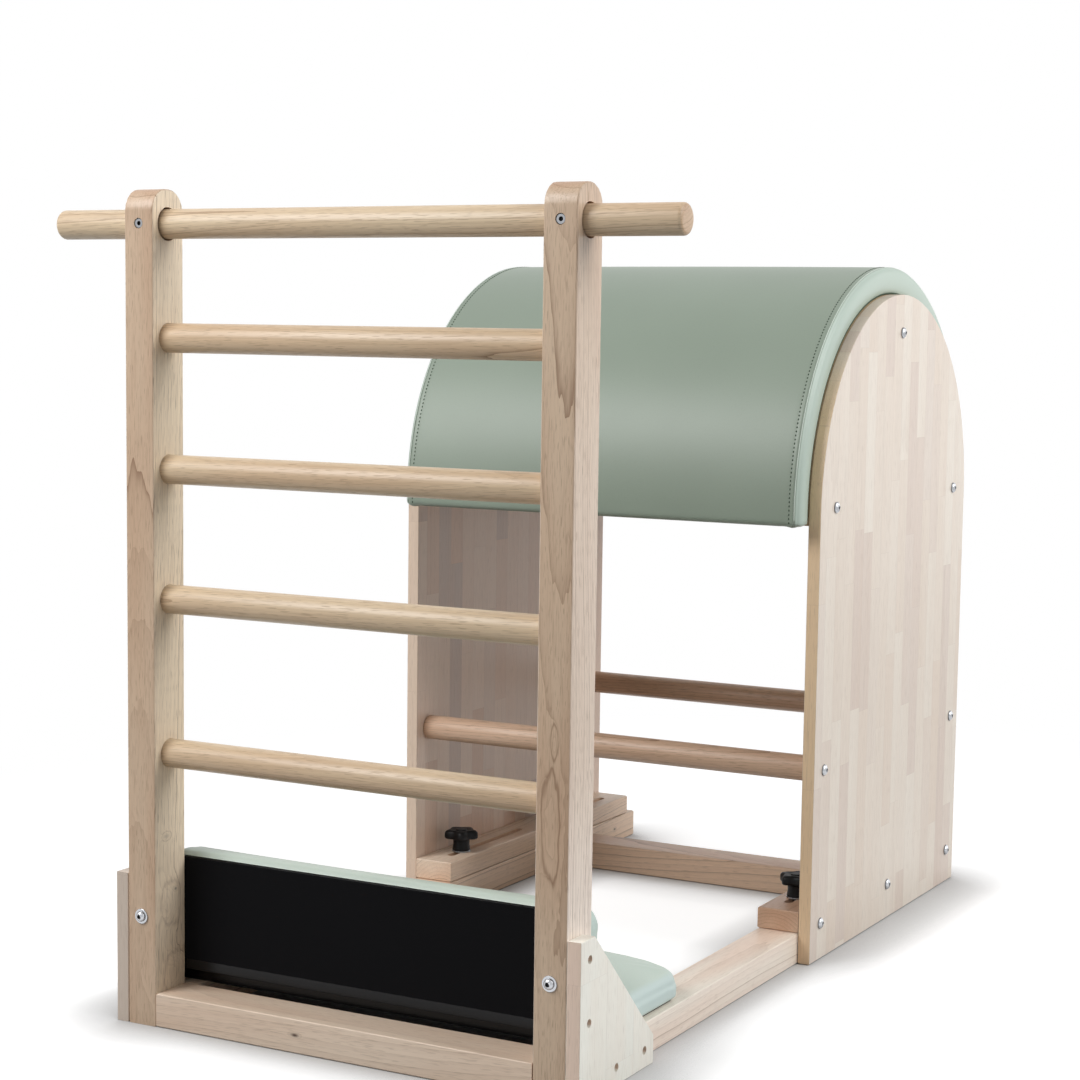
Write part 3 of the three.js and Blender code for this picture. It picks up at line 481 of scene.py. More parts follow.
def vectors(mesh, kind="co"):
    """The places of a mesh's vertices, or their normals, one row each."""
    values = np.empty(len(mesh.vertices) * 3)
    mesh.vertices.foreach_get(kind, values)
    return values.reshape(-1, 3)


def put(mesh, places):
    """Moves the vertices of a mesh to new places."""
    mesh.vertices.foreach_set("co", places.ravel())
    mesh.update()


def shade(mesh, sharp):
    """Smooth shading, apart from edges that turn by more than the given angle in degrees."""
    mesh.polygons.foreach_set("use_smooth", np.ones(len(mesh.polygons), bool))
    mesh.set_sharp_from_angle(angle=math.radians(sharp))


def piece(name, points, faces, finish, body, stands_for=(), sharp=40, merge=True, painted_recess_shade=None):
    """A new piece from an array of points and an array of faces, riding on a body of the machine."""
    mesh = bpy.data.meshes.new(name)
    mesh.from_pydata(points.reshape(-1, 3).tolist(), [], faces.tolist())
    if painted_recess_shade is not None:
        mesh.attributes.new("painted_recess_shade", "FLOAT", "POINT").data.foreach_set("value", painted_recess_shade)
    tidy = bmesh.new()
    tidy.from_mesh(mesh)
    if merge:
        bmesh.ops.remove_doubles(tidy, verts=tidy.verts, dist=1e-6)
    bmesh.ops.recalc_face_normals(tidy, faces=tidy.faces)
    tidy.to_mesh(mesh)
    tidy.free()
    shade(mesh, sharp)
    mesh.materials.append(finish)
    made = linked(name, mesh)
    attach(made, body)
    if stands_for:
        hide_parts(*stands_for)
    return made


def dressed(node, finish, body):
    """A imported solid's own form with its doubles merged and its curved faces shaded smooth."""
    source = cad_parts[node].data
    faces = np.array([tuple(f.vertices) for f in source.polygons])
    made = piece(node + "_finished", vectors(source), faces, finish, body, (node,), 50)
    tidy = bmesh.new()
    tidy.from_mesh(made.data)
    bmesh.ops.remove_doubles(tidy, verts=tidy.verts, dist=0.01 * MM)
    level = math.radians(0.4)
    bmesh.ops.dissolve_limit(tidy, angle_limit=level, verts=tidy.verts, edges=tidy.edges)
    tidy.to_mesh(made.data)
    tidy.free()
    shade(made.data, 50)
    made.modifiers.new("keep_flats_flat", "WEIGHTED_NORMAL").keep_sharp = True


def finished(node, finish):
    """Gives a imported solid, which stays, its material."""
    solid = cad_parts[node]
    if not solid.material_slots:
        solid.data.materials.append(finish)
    solid.material_slots[0].material = finish


def stood(points, foot, axis):
    """The same points with their Z axis laid along another axis, and their origin at a foot."""
    z = np.array(axis, float)
    x = np.array([1.0, 0, 0]) if abs(z[2]) > 0.5 else np.array([0, 0, 1.0])
    return np.array(foot) + points.reshape(-1, 3) @ np.stack([x, np.cross(z, x), z])


def spun(name, radius, height, angle, foot, axis, finish, body, node=None, sharp=40, painted_recess_shade=None):
    """A piece of rings about an axis through a foot: each has its radius and its height at every angle."""
    height = np.broadcast_to(height, radius.shape)
    points = np.stack([radius * np.cos(angle), radius * np.sin(angle), height], axis=-1)
    places, faces = stood(points, foot, axis), ring_faces(*radius.shape)
    piece(name, places, faces, finish, body, (node,) if node else (), sharp, painted_recess_shade=painted_recess_shade)


def lathe(name, node, profile, count, foot, axis, finish, body, wave=None, sharp=40, painted_recess_shade=None):
    """A piece turned from a profile of (radius, height, sway) rows.

    The radius gains sway times the wave at each angle. A profile can give each of its rows a share of painted
    shade.
    """
    rows = np.array(profile, float)
    angle = around(count)
    radius = rows[:, :1] + rows[:, 2:3] * (wave(angle) if wave else 0 * angle)
    if painted_recess_shade is not None:
        painted_recess_shade = np.repeat(painted_recess_shade, count)
    spun(name, radius, rows[:, 1:2], angle, foot, axis, finish, body, node, sharp, painted_recess_shade)


# Timber of the ladder and the base


def rod(name, node, body, seed, kind=HONEY, arris=2.5 * MM):
    """A turned rod along X: a straight profile with rounded arrises, carried round its axis."""
    low, high = ends(node)
    centre = (low + high) / 2
    radius, half = (high[2] - low[2]) / 2, (high[0] - low[0]) / 2
    turn = np.radians(np.linspace(0, 90, 5))
    rim = zip(radius - arris + arris * np.cos(turn), half - arris + arris * np.sin(turn))
    end = [*rim, (radius * 0.5, half), (0, half)]
    profile = [*((r, -h, 0) for r, h in reversed(end)), *((r, h, 0) for r, h in end)]
    heart = (centre[1] + 0.03 * math.cos(seed * 2.4), centre[2] + 0.05 * math.sin(seed * 1.7))
    wood = timber(name + "_wood", "x", heart, seed, kind, 5 * MM, 0.03, lean=(0, 0.03))
    lathe(name, node, profile, 64, centre, (1, 0, 0), wood, body)


def sawn(node, along, heart, seed, kind, body="base", **looks):
    """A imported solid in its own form, as timber cut beside a heart."""
    dressed(node, timber(node + "_wood", along, heart, seed, kind, **looks), body)


def glued(node, seed, kind, body, **looks):
    """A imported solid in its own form, as a board of staves."""
    dressed(node, laminated(node + "_wood", seed, kind, **looks), body)


def spot(x, y, z, along, size, stretch, rim=0.0, dark=0.0):
    """A mark of the grain at a place measured from the front of the ladder, in millimetres."""
    place = np.array([x * MM, LADDER_FRONT + y * MM, z * MM])
    return (*(float(place[i]) for i in GRAIN[along]), size * MM, stretch, rim, dark)


def ladder():
    """The posts keep the form of their solids; the rungs and the rail across the top are turned rods."""
    marks = {
        "left": [
            spot(-282, 24, 251, "z", 10, 0.62, 0.3, 0.3),
            spot(-282, 43, 177, "z", 5, 0.8, 0.2, 0.6),
            spot(-282, 34, 158, "z", 20, 1.5, 0.26, 0),
            spot(-282, 46, 62, "z", 30, 1.1, 0.26, 0.12),
        ],
        "right": [spot(303, 0, 335, "z", 12, 5.5, 0.7), spot(306, 0, 436, "z", 5, 4.5, 0.7)],
    }
    # Painted light: the posts' faces across X are paler where light from the right falls, fading out up the
    # right post.
    painted_side_tones = {"left": (0, 0.95, (255, 237, 210)), "right": (0, 1, (255, 243, 232))}
    painted_light_fades = {"left": (), "right": ((1.25, 0.5, 0.44), (0.45, 0.12, 0.5))}
    # The gussets' edges get a darker tone: partly their grain, partly painted shade.
    gussets = {"left": (PEBBLE, (212, 196, 181)), "right": (IVORY, (243, 218, 199))}
    for hand, side in SIDES.items():
        low, high = ends("post_" + hand)
        heart = ((low[0] + high[0]) / 2 + 0.006 * side, high[1] + 0.04)
        looks = {"spots": marks[hand], "flank": painted_side_tones[hand], "fade": painted_light_fades[hand]}
        lean = (0.004, -0.045 * side)
        sawn("post_" + hand, "z", heart, 3.3 + side, SAND, pitch=7 * MM, sway=0.06, lean=lean, **looks)
        kind, edge = gussets[hand]
        looks = {"width": 74 * MM, "flank": (1, 1, edge), "end": 0.1, "contrast": 0.25}
        glued("gusset_" + hand, 5.5 + side, kind, "base", **looks)
    for i, seed in enumerate((2.6, 3.8, 5.7, 7.6), 1):
        rod(f"turned_rung_{i}", f"rung_{i}", "base", seed)
    rod("turned_top_rail", "top_rail", "base", 11.3, arris=5 * MM)


def base_frame():
    """The base timbers keep the form of their solids, each cut from its own board."""
    knots = {"left": [spot(-263, 1300, 24, "y", 4, 2, 0.3, 0.9)], "right": []}
    # Painted light: the rails' and strips' faces across X get a paler tone.
    painted_side_tones = {"left": (0, 0.9, (255, 224, 196)), "right": (0, 0.5, (255, 240, 226))}
    kinds = {"left": (CREAM, CREAM), "right": (SHELL, BARK)}
    for hand, side in SIDES.items():
        rail, strip = kinds[hand]
        low, high = ends("base_rail_" + hand)
        heart = ((low[0] + high[0]) / 2 + 0.02 * side, -0.06)
        looks = {"spots": knots[hand], "lean": (0, 0.02), "flank": painted_side_tones[hand], "end": 0.2, "fine": 0.45}
        sawn("base_rail_" + hand, "y", heart, 7.1 + side, rail, **looks)
        low, high = ends("slide_strip_" + hand)
        heart = ((low[0] + high[0]) / 2 - 0.012 * side, low[2] - 0.03)
        looks = {"pitch": 6 * MM, "lean": (0.01, 0.015), "flank": painted_side_tones[hand], "end": 0.1, "fine": 0.5}
        sawn("slide_strip_" + hand, "y", heart, 2.2 + side, strip, "carriage", **looks)
    knot = spot(-62, 0, 24, "x", 4, 2.5, 0.2, 1)
    boards = (
        ("front_sill", 1.4, CREAM, [knot], None),
        # The rear beam's faces along Y get a paler tone: painted light.
        ("rear_beam", 6.2, BARK, [], (1, 0.8, (250, 218, 190))),
    )
    for node, seed, kind, spots, flank in boards:
        low, high = ends(node)
        heart = ((low[1] + high[1]) / 2 + 0.01, -0.05)
        sawn(node, "x", heart, seed, kind, spots=spots, lean=(0, 0.04), flank=flank, fine=0.6)


# Barrel frame


def barrel_frame():
    """The side panels keep their form, with smooth arches; the formers and the shell are plywood."""
    # The panels' edges get their own tone: partly edge grain, partly painted light.
    panels = {"left": (TAUPE, 1.8, (236, 212, 190)), "right": (MILK, 1, (255, 219, 174))}
    for hand, side in SIDES.items():
        kind, contrast, edge = panels[hand]
        looks = {"flank": (1, 0.8, edge), "end": 0.2, "contrast": contrast}
        glued("side_panel_" + hand, 2.6 + side, kind, "carriage", **looks)
        dressed("former_" + hand, plywood(f"former_{hand}_ply", side, flat=True), "carriage")
    dressed("barrel_shell", plywood("shell_ply", 4), "carriage")
    rod("turned_dowel_front", "dowel_front", "carriage", 4.4, BARK, 1.2 * MM)
    rod("turned_dowel_rear", "dowel_rear", "carriage", 8.7, BARK, 1.2 * MM)


# Fasteners, whose own sizes are in millimetres

SHANK = 4
DOME = 5
KEY = 2.5  # half the width across a socket's flats
GUSSET_HOLES = ((23, 176), (23, 98), (98, 23), (176, 23))  # from the ladder's front and from the floor
BORE_DEPTH = 8.9
CROSS_DEPTH = 1.3


def hexagon(angle):
    """How far a hexagon of apothem 1 stands out past its inscribed circle at each angle."""
    return 1 / np.cos(angle % (math.pi / 3) - math.pi / 6) - 1


def knurl(angle):
    """Fine ridges all round a head."""
    return np.cos(48 * angle)


def button_bolt(name, node, axis, body, head, washer=0, rim=0):
    """A domed bolt: a quarter ellipse for the dome, a hexagonal socket in it, and a plain shank.

    It has the radius of its head, and the thickness and the radius of a washer, if there is one.
    """
    low, high = ends(node)
    axis = np.array(axis, float)
    reach = float((high - low) @ np.abs(axis)) / MM
    foot = (low + high) / 2 + axis * (reach / 2 - DOME - washer) * MM
    tail, top = DOME + washer - reach, DOME + washer
    profile = [(0, tail, 0), (SHANK - 0.6, tail, 0), (SHANK, tail + 0.8, 0), (SHANK, 0, 0)]
    if washer:
        profile += [(rim - 0.4, 0, 0), (rim, 0.4, 0), (rim, washer - 0.4, 0), (rim - 0.4, washer, 0)]
    profile += [(head - 0.3, washer, 0), (head, washer + 0.5, 0)]
    for turn in np.radians(np.linspace(8, 62, 8)):
        profile.append((head * math.cos(turn), washer + DOME * math.sin(turn) ** 0.9, 0))
    profile += [(KEY + 0.5, top, 0), (KEY + 0.25, top - 0.1, KEY * 0.6), (KEY, top - 0.5, KEY)]
    profile += [(KEY, top - 2.6, KEY), (0, top - 3, 0)]
    # Painted shade: dark where the dome meets what it sits on, and in the socket.
    painted_recess_shade = np.zeros(len(profile))
    painted_recess_shade[-14:-11] = (0.75, 0.5, 0.2)  # where the dome meets what it sits on
    painted_recess_shade[-4:] = (0, 0.7, 1, 1)
    rows = np.array(profile) * MM
    lathe(name, node, rows, 48, foot, axis, chrome, body, hexagon, 35, painted_recess_shade)


def cap_screw(name, node):
    """A cap screw sunk in a post, seen from the front: a knurled cylinder with a socket in its face."""
    low, high = ends(node)
    foot = ((low[0] + high[0]) / 2, high[1], (low[2] + high[2]) / 2)
    radius, top = (high[0] - low[0]) / 2 / MM, (high[1] - low[1]) / MM
    head, key = top - 8, 2.6
    profile = [(0, 0, 0), (SHANK, 0.4, 0), (SHANK, head, 0), (radius, head, 0.15)]
    profile += [(radius, top - 0.7, 0.15), (radius - 0.7, top, 0), (key + 0.5, top, 0)]
    profile += [(key, top - 0.4, 0), (key, top - 4, 0), (0, top - 4.6, 0)]
    # Painted shade: dark on the sides and in the socket, half dark on the face.
    painted_recess_shade = (1, 1, 1, 0.9, 0.9, 0.5, 0.3, 0.8, 1, 1)
    rows = np.array(profile) * MM
    lathe(name, node, rows, 144, foot, (0, -1, 0), chrome, "base", knurl, 35, painted_recess_shade)


def cross_screw(name, foot, side, turn):
    """A round-headed wood screw at the bottom of a counterbore.

    Rings and spokes give its head: a dome, less a cross that sinks where either coordinate is small.
    """
    radius = np.array([0, 0.6, 1.2, 1.8, 2.4, 3.0, 3.6, 4.1, 4.5, 4.5, 2.2, 2.2, 0])[:, None] * MM
    dome = np.array([2.6, 2.58, 2.54, 2.48, 2.36, 2.16, 1.84, 1.4, 0.6, 0, 0, -8, -9.5])[:, None] * MM
    angle = around(64)
    narrow = radius * np.minimum(np.abs(np.cos(angle)), np.abs(np.sin(angle)))
    cross = np.clip(1 - (narrow / (0.75 * MM)) ** 4, 0, 1) * (radius < 2.7 * MM)
    cross[9:] = 0
    height = dome - cross * CROSS_DEPTH * MM
    radius = np.broadcast_to(radius, height.shape)
    axis = (side, 0, 0)
    # The cross in the head gets painted shade.
    spun(name, radius, height, angle + turn, foot, axis, zinc, "base", None, 35, cross.ravel())


def fasteners():
    """Bolts on the panels and the posts, the screws that lock the top rail, and the gussets' wood screws."""
    for node in sorted(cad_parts):
        if node.startswith("panel_bolt"):
            side = SIDES[node.rsplit("_", 1)[1]]
            button_bolt(node.replace("panel", "domed"), node, (side, 0, 0), "carriage", 8.5)
    for hand, side in SIDES.items():
        button_bolt(f"domed_foot_bolt_{hand}", f"foot_bolt_{hand}", (0, -1, 0), "base", 7, 1.6, 10)
        cap_screw(f"sunk_lock_screw_{hand}", f"lock_screw_{hand}")
        low, high = ends("gusset_" + hand)
        face = high[0] if side > 0 else low[0]
        for i, (y, z) in enumerate(GUSSET_HOLES):
            foot = (face - side * BORE_DEPTH * MM, LADDER_FRONT + y * MM, z * MM)
            cross_screw(f"gusset_screw_{hand}_{i + 1}", foot, side, 0.5 + 1.3 * i)


# Clamp knobs

HEAD_HEIGHT = 15  # of a knob, in millimetres
STUD_RADIUS = 5 * MM
STUD_IN_HUB = 4 * MM
THREAD_PITCH = 1.5 * MM
THREAD_DEPTH = 0.85 * MM
LOBE_ANGLE = {"left": -61.6, "right": 28.4}
UP = (0, 0, 1)


def star(angle):
    """The edge of a head with five lobes: 0 at the tip of a lobe and -1 in the dips between them."""
    wave = (1 - np.cos(5 * angle)) / 2
    return -(wave**0.8)


def threaded_stud(name, body, foot, length):
    """A stud whose radius loses a saw-tooth of its height over the pitch and its angle over a whole turn."""
    height = np.arange(0, length, THREAD_PITCH / 4)
    angle = around(24)
    phase = (height[:, None] / THREAD_PITCH - angle / (2 * np.pi)) % 1
    radius = np.pad(STUD_RADIUS - THREAD_DEPTH * np.abs(phase * 2 - 1), ((1, 1), (0, 0)))
    height = np.concatenate([[0], height, [length]])[:, None]
    spun(name, radius, height, angle, foot, UP, zinc, body)


def clamp_knob(place, hand):
    """A moulded star knob: a hub, an undercut head with five lobes, a dished top and a raised cap.

    The rows of its profile are in millimetres, counted from the foot of the hub, from the head's underside
    and from its top. The washer's are (radius, height) rows.
    """
    corner = f"{place}_{hand}"
    node, washer, body = (f"{kind}_{corner}" for kind in ("clamp_knob", "knob_washer", "knob"))
    low, high = ends(node)
    washer_low, washer_high = ends(washer)
    x, y, _ = (washer_low + washer_high) / 2
    foot = washer_high[2] + SEAT
    top = (high[2] - foot) / MM
    hub = [(0, 6, 0), (5.2, 6, 0), (5.2, 0, 0), (13.6, 0, 0), (14.4, 0.8, 0), (13.2, 9, 0)]
    under = [(13.4, -2.5, 0), (15.5, -0.4, 0), (22, 0.2, 3.5), (26.2, 0.8, 6.4), (27.6, 2.2, 6.9), (28, 4, 7)]
    over = [(27.8, -5.2, 7), (27, -3.4, 6.9), (25.4, -1.8, 6.6), (23.2, -0.9, 6), (20.6, -0.5, 4.6)]
    over += [(16, -0.9, 2), (11.5, -1.6, 0.4), (9.6, -1.8, 0), (9.2, -1.5, 0), (8.6, -0.3, 0)]
    over += [(7.8, 0, 0), (4, 0, 0), (0, -0.1, 0)]
    under, over = np.array(under) + (0, top - HEAD_HEIGHT, 0), np.array(over) + (0, top, 0)
    rows = np.concatenate([hub, under, over]) * MM
    tip = math.radians(LOBE_ANGLE[hand])

    def lobes(angle):
        return star(angle - tip)

    lathe(f"star_knob_{corner}", node, rows, 160, (x, y, foot), UP, black_plastic, body, lobes, 42)
    threaded_stud(f"threaded_stud_{corner}", body, (x, y, low[2]), foot + STUD_IN_HUB - low[2])
    disc = [(5.6, 0.3), (5.9, 0), (14.6, 0), (15, 0.4), (15, 1.6)]
    disc += [(14.6, 2), (5.9, 2), (5.6, 1.7), (5.6, 0.3)]
    rows = [(r * MM, h * MM, 0) for r, h in disc]
    seat = (x, y, washer_low[2])
    lathe(f"plain_washer_{corner}", washer, rows, 64, seat, UP, zinc, body)
    finished(f"rail_insert_{corner}", zinc)


# Padding

SWELL_FRAMES = 20
PRESSURE = 4.0


def block_skin(across, along, up):
    """The skin of a block that three arrays of places cut into cells: its points, and its quads."""
    shape = (len(across), len(along), len(up))
    ids = np.arange(np.prod(shape)).reshape(shape)
    layers = [ids[0], ids[-1], ids[:, 0], ids[:, -1], ids[:, :, 0], ids[:, :, -1]]
    quads = [
        np.stack([s[:-1, :-1], s[1:, :-1], s[1:, 1:], s[:-1, 1:]], axis=-1).reshape(-1, 4)
        for s in layers
    ]
    used, faces = np.unique(np.concatenate(quads), return_inverse=True)
    a, b, c = np.unravel_index(used, shape)
    return np.stack([across[a], along[b], up[c]], axis=-1), faces.reshape(-1, 4)


def rounded(points, low, high, radii):
    """Rounds a block's edges: a point past the inner block is pulled onto an ellipsoid about its corner."""
    core = np.clip(points, low + radii, high - radii)
    reach = points - core
    length = np.linalg.norm(reach / radii, axis=1, keepdims=True)
    return core + reach / np.maximum(length, 1)


def inflate(made, held, cap):
    """Swells a cover by cloth simulation, with some points held, and no point moves further than the cap."""
    before = vectors(made.data)
    group = made.vertex_groups.new(name="held")
    group.add(np.flatnonzero(held).tolist(), 1.0, "REPLACE")
    cloth = made.modifiers.new("cloth", "CLOTH")
    settings = cloth.settings
    settings.vertex_group_mass = "held"
    settings.use_pressure = True
    settings.uniform_pressure_force = PRESSURE
    settings.effector_weights.gravity = 0
    settings.quality = 4
    cloth.collision_settings.use_collision = False
    cloth.point_cache.frame_end = SWELL_FRAMES
    for step in range(1, SWELL_FRAMES + 1):
        scene.frame_set(step)
    after = vectors(made.evaluated_get(bpy.context.evaluated_depsgraph_get()).to_mesh())
    made.modifiers.remove(cloth)
    made.vertex_groups.remove(group)
    scene.frame_set(1)
    move = after - before
    length = np.linalg.norm(move, axis=1, keepdims=True)
    put(made.data, before + move * cap * np.tanh(length / cap) / np.maximum(length, 1e-9))


def subdivided(made):
    """A finer surface over the piece's own mesh."""
    smooth = made.modifiers.new("fine_surface", "SUBSURF")
    smooth.levels = smooth.render_levels = 1


def bump_over(distance, width):
    """A bell curve of height 1 about zero."""
    return np.exp(-((distance / width) ** 2))


def barrel_cushion():
    """The half-round cushion.

    A block as wide as the barrel, as long as the arch and as thick as the foam has its edges rounded, is
    swollen a little at its ends, and is then wound over the arch: its length becomes an angle, with a
    straight drop past each end, and its thickness adds to the radius. A seam runs along each top edge, with
    a row of stitches beside it.
    """
    low, high = ends("barrel_cushion")
    half = ends("barrel_shell")[1][0]
    inner = PANEL_RADIUS + SEAT
    thick = high[2] - ARCH_Z - inner - CUSHION_CROWN
    drop = ARCH_Z - low[2]
    length = math.pi * (inner + thick)
    last = length + drop
    seam, stitching = 6.3 * MM, 13.5 * MM
    edge = np.array([0, 0.9, 1.8, 2.8, 3.8, 4.7, 5.5, 6.3, 7.1, 8, 9.4, 11.5, 13.5, 16.5, 21, 28, 36]) * MM
    middle = np.linspace(-half + 44 * MM, half - 44 * MM, 66)
    across = np.concatenate([edge - half, middle, (half - edge)[::-1]])
    lip = np.array([0, 1.5, 3.2, 5.2, 7.6, 10.4, 13.6, 17.4, 22, 28]) * MM
    arch = np.linspace(36 * MM - drop, last - 36 * MM, 132)
    along = np.concatenate([lip - drop, arch, (last - lip)[::-1]])
    up = np.array([0, 1.5, 4, 9, 15, 21, 27, 31.5, 34.5, 36.7, 38.4, 39.4, 40.3]) / 40.3 * thick
    block, faces = block_skin(across, along, up)
    x, s, t = block.T.copy()
    from_end = half - np.abs(x)
    corners = np.array([-half, -drop, 0]), np.array([half, last, thick])
    soft = rounded(block, *corners, np.array([6, 9, 12]) * MM)
    foot = (from_end < 6.1 * MM) & (t < 5 * MM)
    tucked = half - 3.5 * MM * (1 - t[foot] / (5 * MM))
    soft[foot, 0] = np.sign(x[foot]) * np.minimum(np.abs(x[foot]), tucked)
    soft[foot, 2] = t[foot]
    soft[:, 0] += np.sign(x) * (from_end < 1e-6) * np.sin(np.pi * t / thick) * 3.2 * MM
    soft[:, 2] += (1 - (x / half) ** 2) * (t / thick) * CUSHION_CROWN
    gather = bump_over(s + drop, 9 * MM) + bump_over(s - last, 9 * MM)
    gather *= bump_over(from_end, 22 * MM) * (t > thick * 0.5)
    soft[:, 1] += gather * 1.3 * MM * np.sin(from_end / (3.1 * MM))
    lump = bump_over(from_end - 8 * MM, 6 * MM) * (t / thick) * 2 * MM
    soft[:, 1] += lump * ((s > last - 9 * MM) * 1.0 - (s < 9 * MM - drop))

    def wound(flat):
        """Places of (across, along, up) once the strip is wound over the arch."""
        turn = np.clip(flat[:, 1] / length, 0, 1) * np.pi
        past = np.minimum(flat[:, 1], 0) + np.minimum(length - flat[:, 1], 0)
        radius = inner + flat[:, 2]
        y, z = BARREL_Y - radius * np.cos(turn), ARCH_Z + radius * np.sin(turn) + past
        return np.stack([flat[:, 0], y, z], axis=-1)

    name, stands_for = "half_round_cushion", ("barrel_cushion",)
    cushion = piece(name, wound(soft), faces, sage, "carriage", stands_for, 60, merge=False)
    on_top = t > thick - 1e-6
    still = (t < 6 * MM) | (on_top & (from_end < stitching + 1 * MM))
    still |= (s < 3 * MM - drop) | (s > last - 3 * MM)
    inflate(cushion, still, 1.2 * MM)
    groove = on_top * bump_over(from_end - seam, 0.9 * MM) * 1 * MM
    channel = on_top * bump_over(from_end - stitching, 1.6 * MM) * 0.4 * MM
    final = vectors(cushion.data) - vectors(cushion.data, "normal") * (groove + channel)[:, None]
    put(cushion.data, final)
    subdivided(cushion)
    run = np.linspace(-drop, last, 200)

    def top_line(side, inset):
        """The line along the cushion's top at an inset from one of its ends."""
        on_line = on_top & (np.abs(x - side * (half - inset)) < 0.01 * MM)
        return final[on_line][np.argsort(s[on_line])]

    for hand, side in SIDES.items():
        stitches(f"cushion_stitches_{hand}", top_line(side, stitching))
        # A pale bead as painted highlight on the seam's fold.
        bead(f"cushion_seam_{hand}", top_line(side, 5.5 * MM), 0.9 * MM, 0.1 * MM, seam_highlight_vinyl)
        # A dark bead as painted shade in the seam's groove.
        bead(f"cushion_seam_shade_{hand}", top_line(side, seam), 0.6 * MM, -0.1 * MM, seam_shade_vinyl)
        # A dark bead along the foot of each end, where it meets the panel: painted shade.
        foot_line = np.stack([0 * run + side * (half - 1.7 * MM), run, 0 * run + 1.7 * MM], axis=-1)
        bead(f"cushion_foot_shade_line_{hand}", wound(foot_line), 1.5 * MM, 0, thread)


def carried(path, pitch):
    """Points at even steps along a path on the cushion, with their directions ahead, across and outwards.

    Outwards is away from the barrel's axis, and forwards or back below the arch.
    """
    steps = np.linalg.norm(np.diff(path, axis=0), axis=1)
    travel = np.concatenate([[0], np.cumsum(steps)])
    at = np.arange(pitch, travel[-1] - pitch, pitch)
    points = np.stack([np.interp(at, travel, path[:, i]) for i in range(3)], axis=-1)
    ahead = np.gradient(points, axis=0)
    ahead /= np.linalg.norm(ahead, axis=1, keepdims=True)
    rise = np.maximum(points[:, 2] - ARCH_Z, 0)
    out = np.stack([0 * rise, points[:, 1] - BARREL_Y, rise], axis=-1)
    out /= np.linalg.norm(out, axis=1, keepdims=True)
    return points[:, None], np.stack([ahead, np.cross(ahead, out), out], axis=1)


def stitches(name, path):
    """A row of short threads: one small capsule, a ring profile of eight sides, repeated along a path."""
    points, axes = carried(path, 6 * MM)
    turn = around(8)
    station = np.array([-1.6, -1.4, -0.7, 0, 0.7, 1.4, 1.6])[:, None] * MM
    girth = np.array([0, 0.6, 0.85, 0.9, 0.85, 0.6, 0])[:, None] * MM
    lift = np.array([-0.2, 0, 0.3, 0.4, 0.3, 0, -0.2])[:, None] * MM
    capsule = [station + 0 * turn, girth * np.cos(turn), lift + girth * np.sin(turn) * 0.8]
    local = np.stack(capsule, axis=-1).reshape(1, -1, 3)
    one = ring_faces(len(station), len(turn))
    faces = (one[None] + (np.arange(len(points)) * local.shape[1])[:, None, None]).reshape(-1, 4)
    piece(name, points + local @ axes, faces, thread, "carriage", (), 60)


def bead(name, path, girth, sunk, finish):
    """A round section carried along a line of the cushion, sunk a little below it, with both ends closed."""
    points, axes = carried(path, 5 * MM)
    turn = around(10)
    size = np.full((len(points), 1, 1), girth)
    size[[0, -1]] = 0
    ring = np.stack([0 * turn, np.cos(turn), np.sin(turn)], axis=-1) @ axes
    placed = points + ring * size - axes[:, 2:] * sunk
    faces = ring_faces(len(points), len(turn))
    piece(name, placed, faces, finish, "carriage", (), 60)


def outline(half, low, high, foot, corner, inset, draw):
    """A flat outline with two small corners at the low side and two large elliptical ones at the high side.

    Every side is drawn in between its corners by a half sine. Each inset takes the same number of points.
    """
    small = max(foot - inset, 0.8 * MM)
    wide, deep = corner[0] - inset, corner[1] - inset
    x, front, back = half - inset, low + inset, high - inset

    def side(start, end, normal, length):
        share = np.linspace(0, 1, int(length / (7 * MM)), endpoint=False)[:, None]
        bow = np.array(normal) * draw * np.sin(np.pi * share)
        return np.array(start) + share * np.subtract(end, start) + bow

    def bend(x, y, a, b, start, count):
        turn = np.radians(np.linspace(start, start + 90, count, endpoint=False))[:, None]
        return np.concatenate([x + a * np.cos(turn), y + b * np.sin(turn)], axis=1)

    flank = high - low - foot - corner[1]
    return np.concatenate(
        [
            side((small - x, front), (x - small, front), (0, 1), 2 * (half - foot)),
            bend(x - small, front + small, small, small, -90, 5),
            side((x, front + small), (x, back - deep), (-1, 0), flank),
            bend(x - wide, back - deep, wide, deep, 0, 26),
            side((x - wide, back), (wide - x, back), (0, -1), 2 * (half - corner[0])),
            bend(wide - x, back - deep, wide, deep, 90, 26),
            side((-x, back - deep), (-x, front + small), (1, 0), flank),
            bend(small - x, front + small, small, small, 180, 5),
        ]
    )


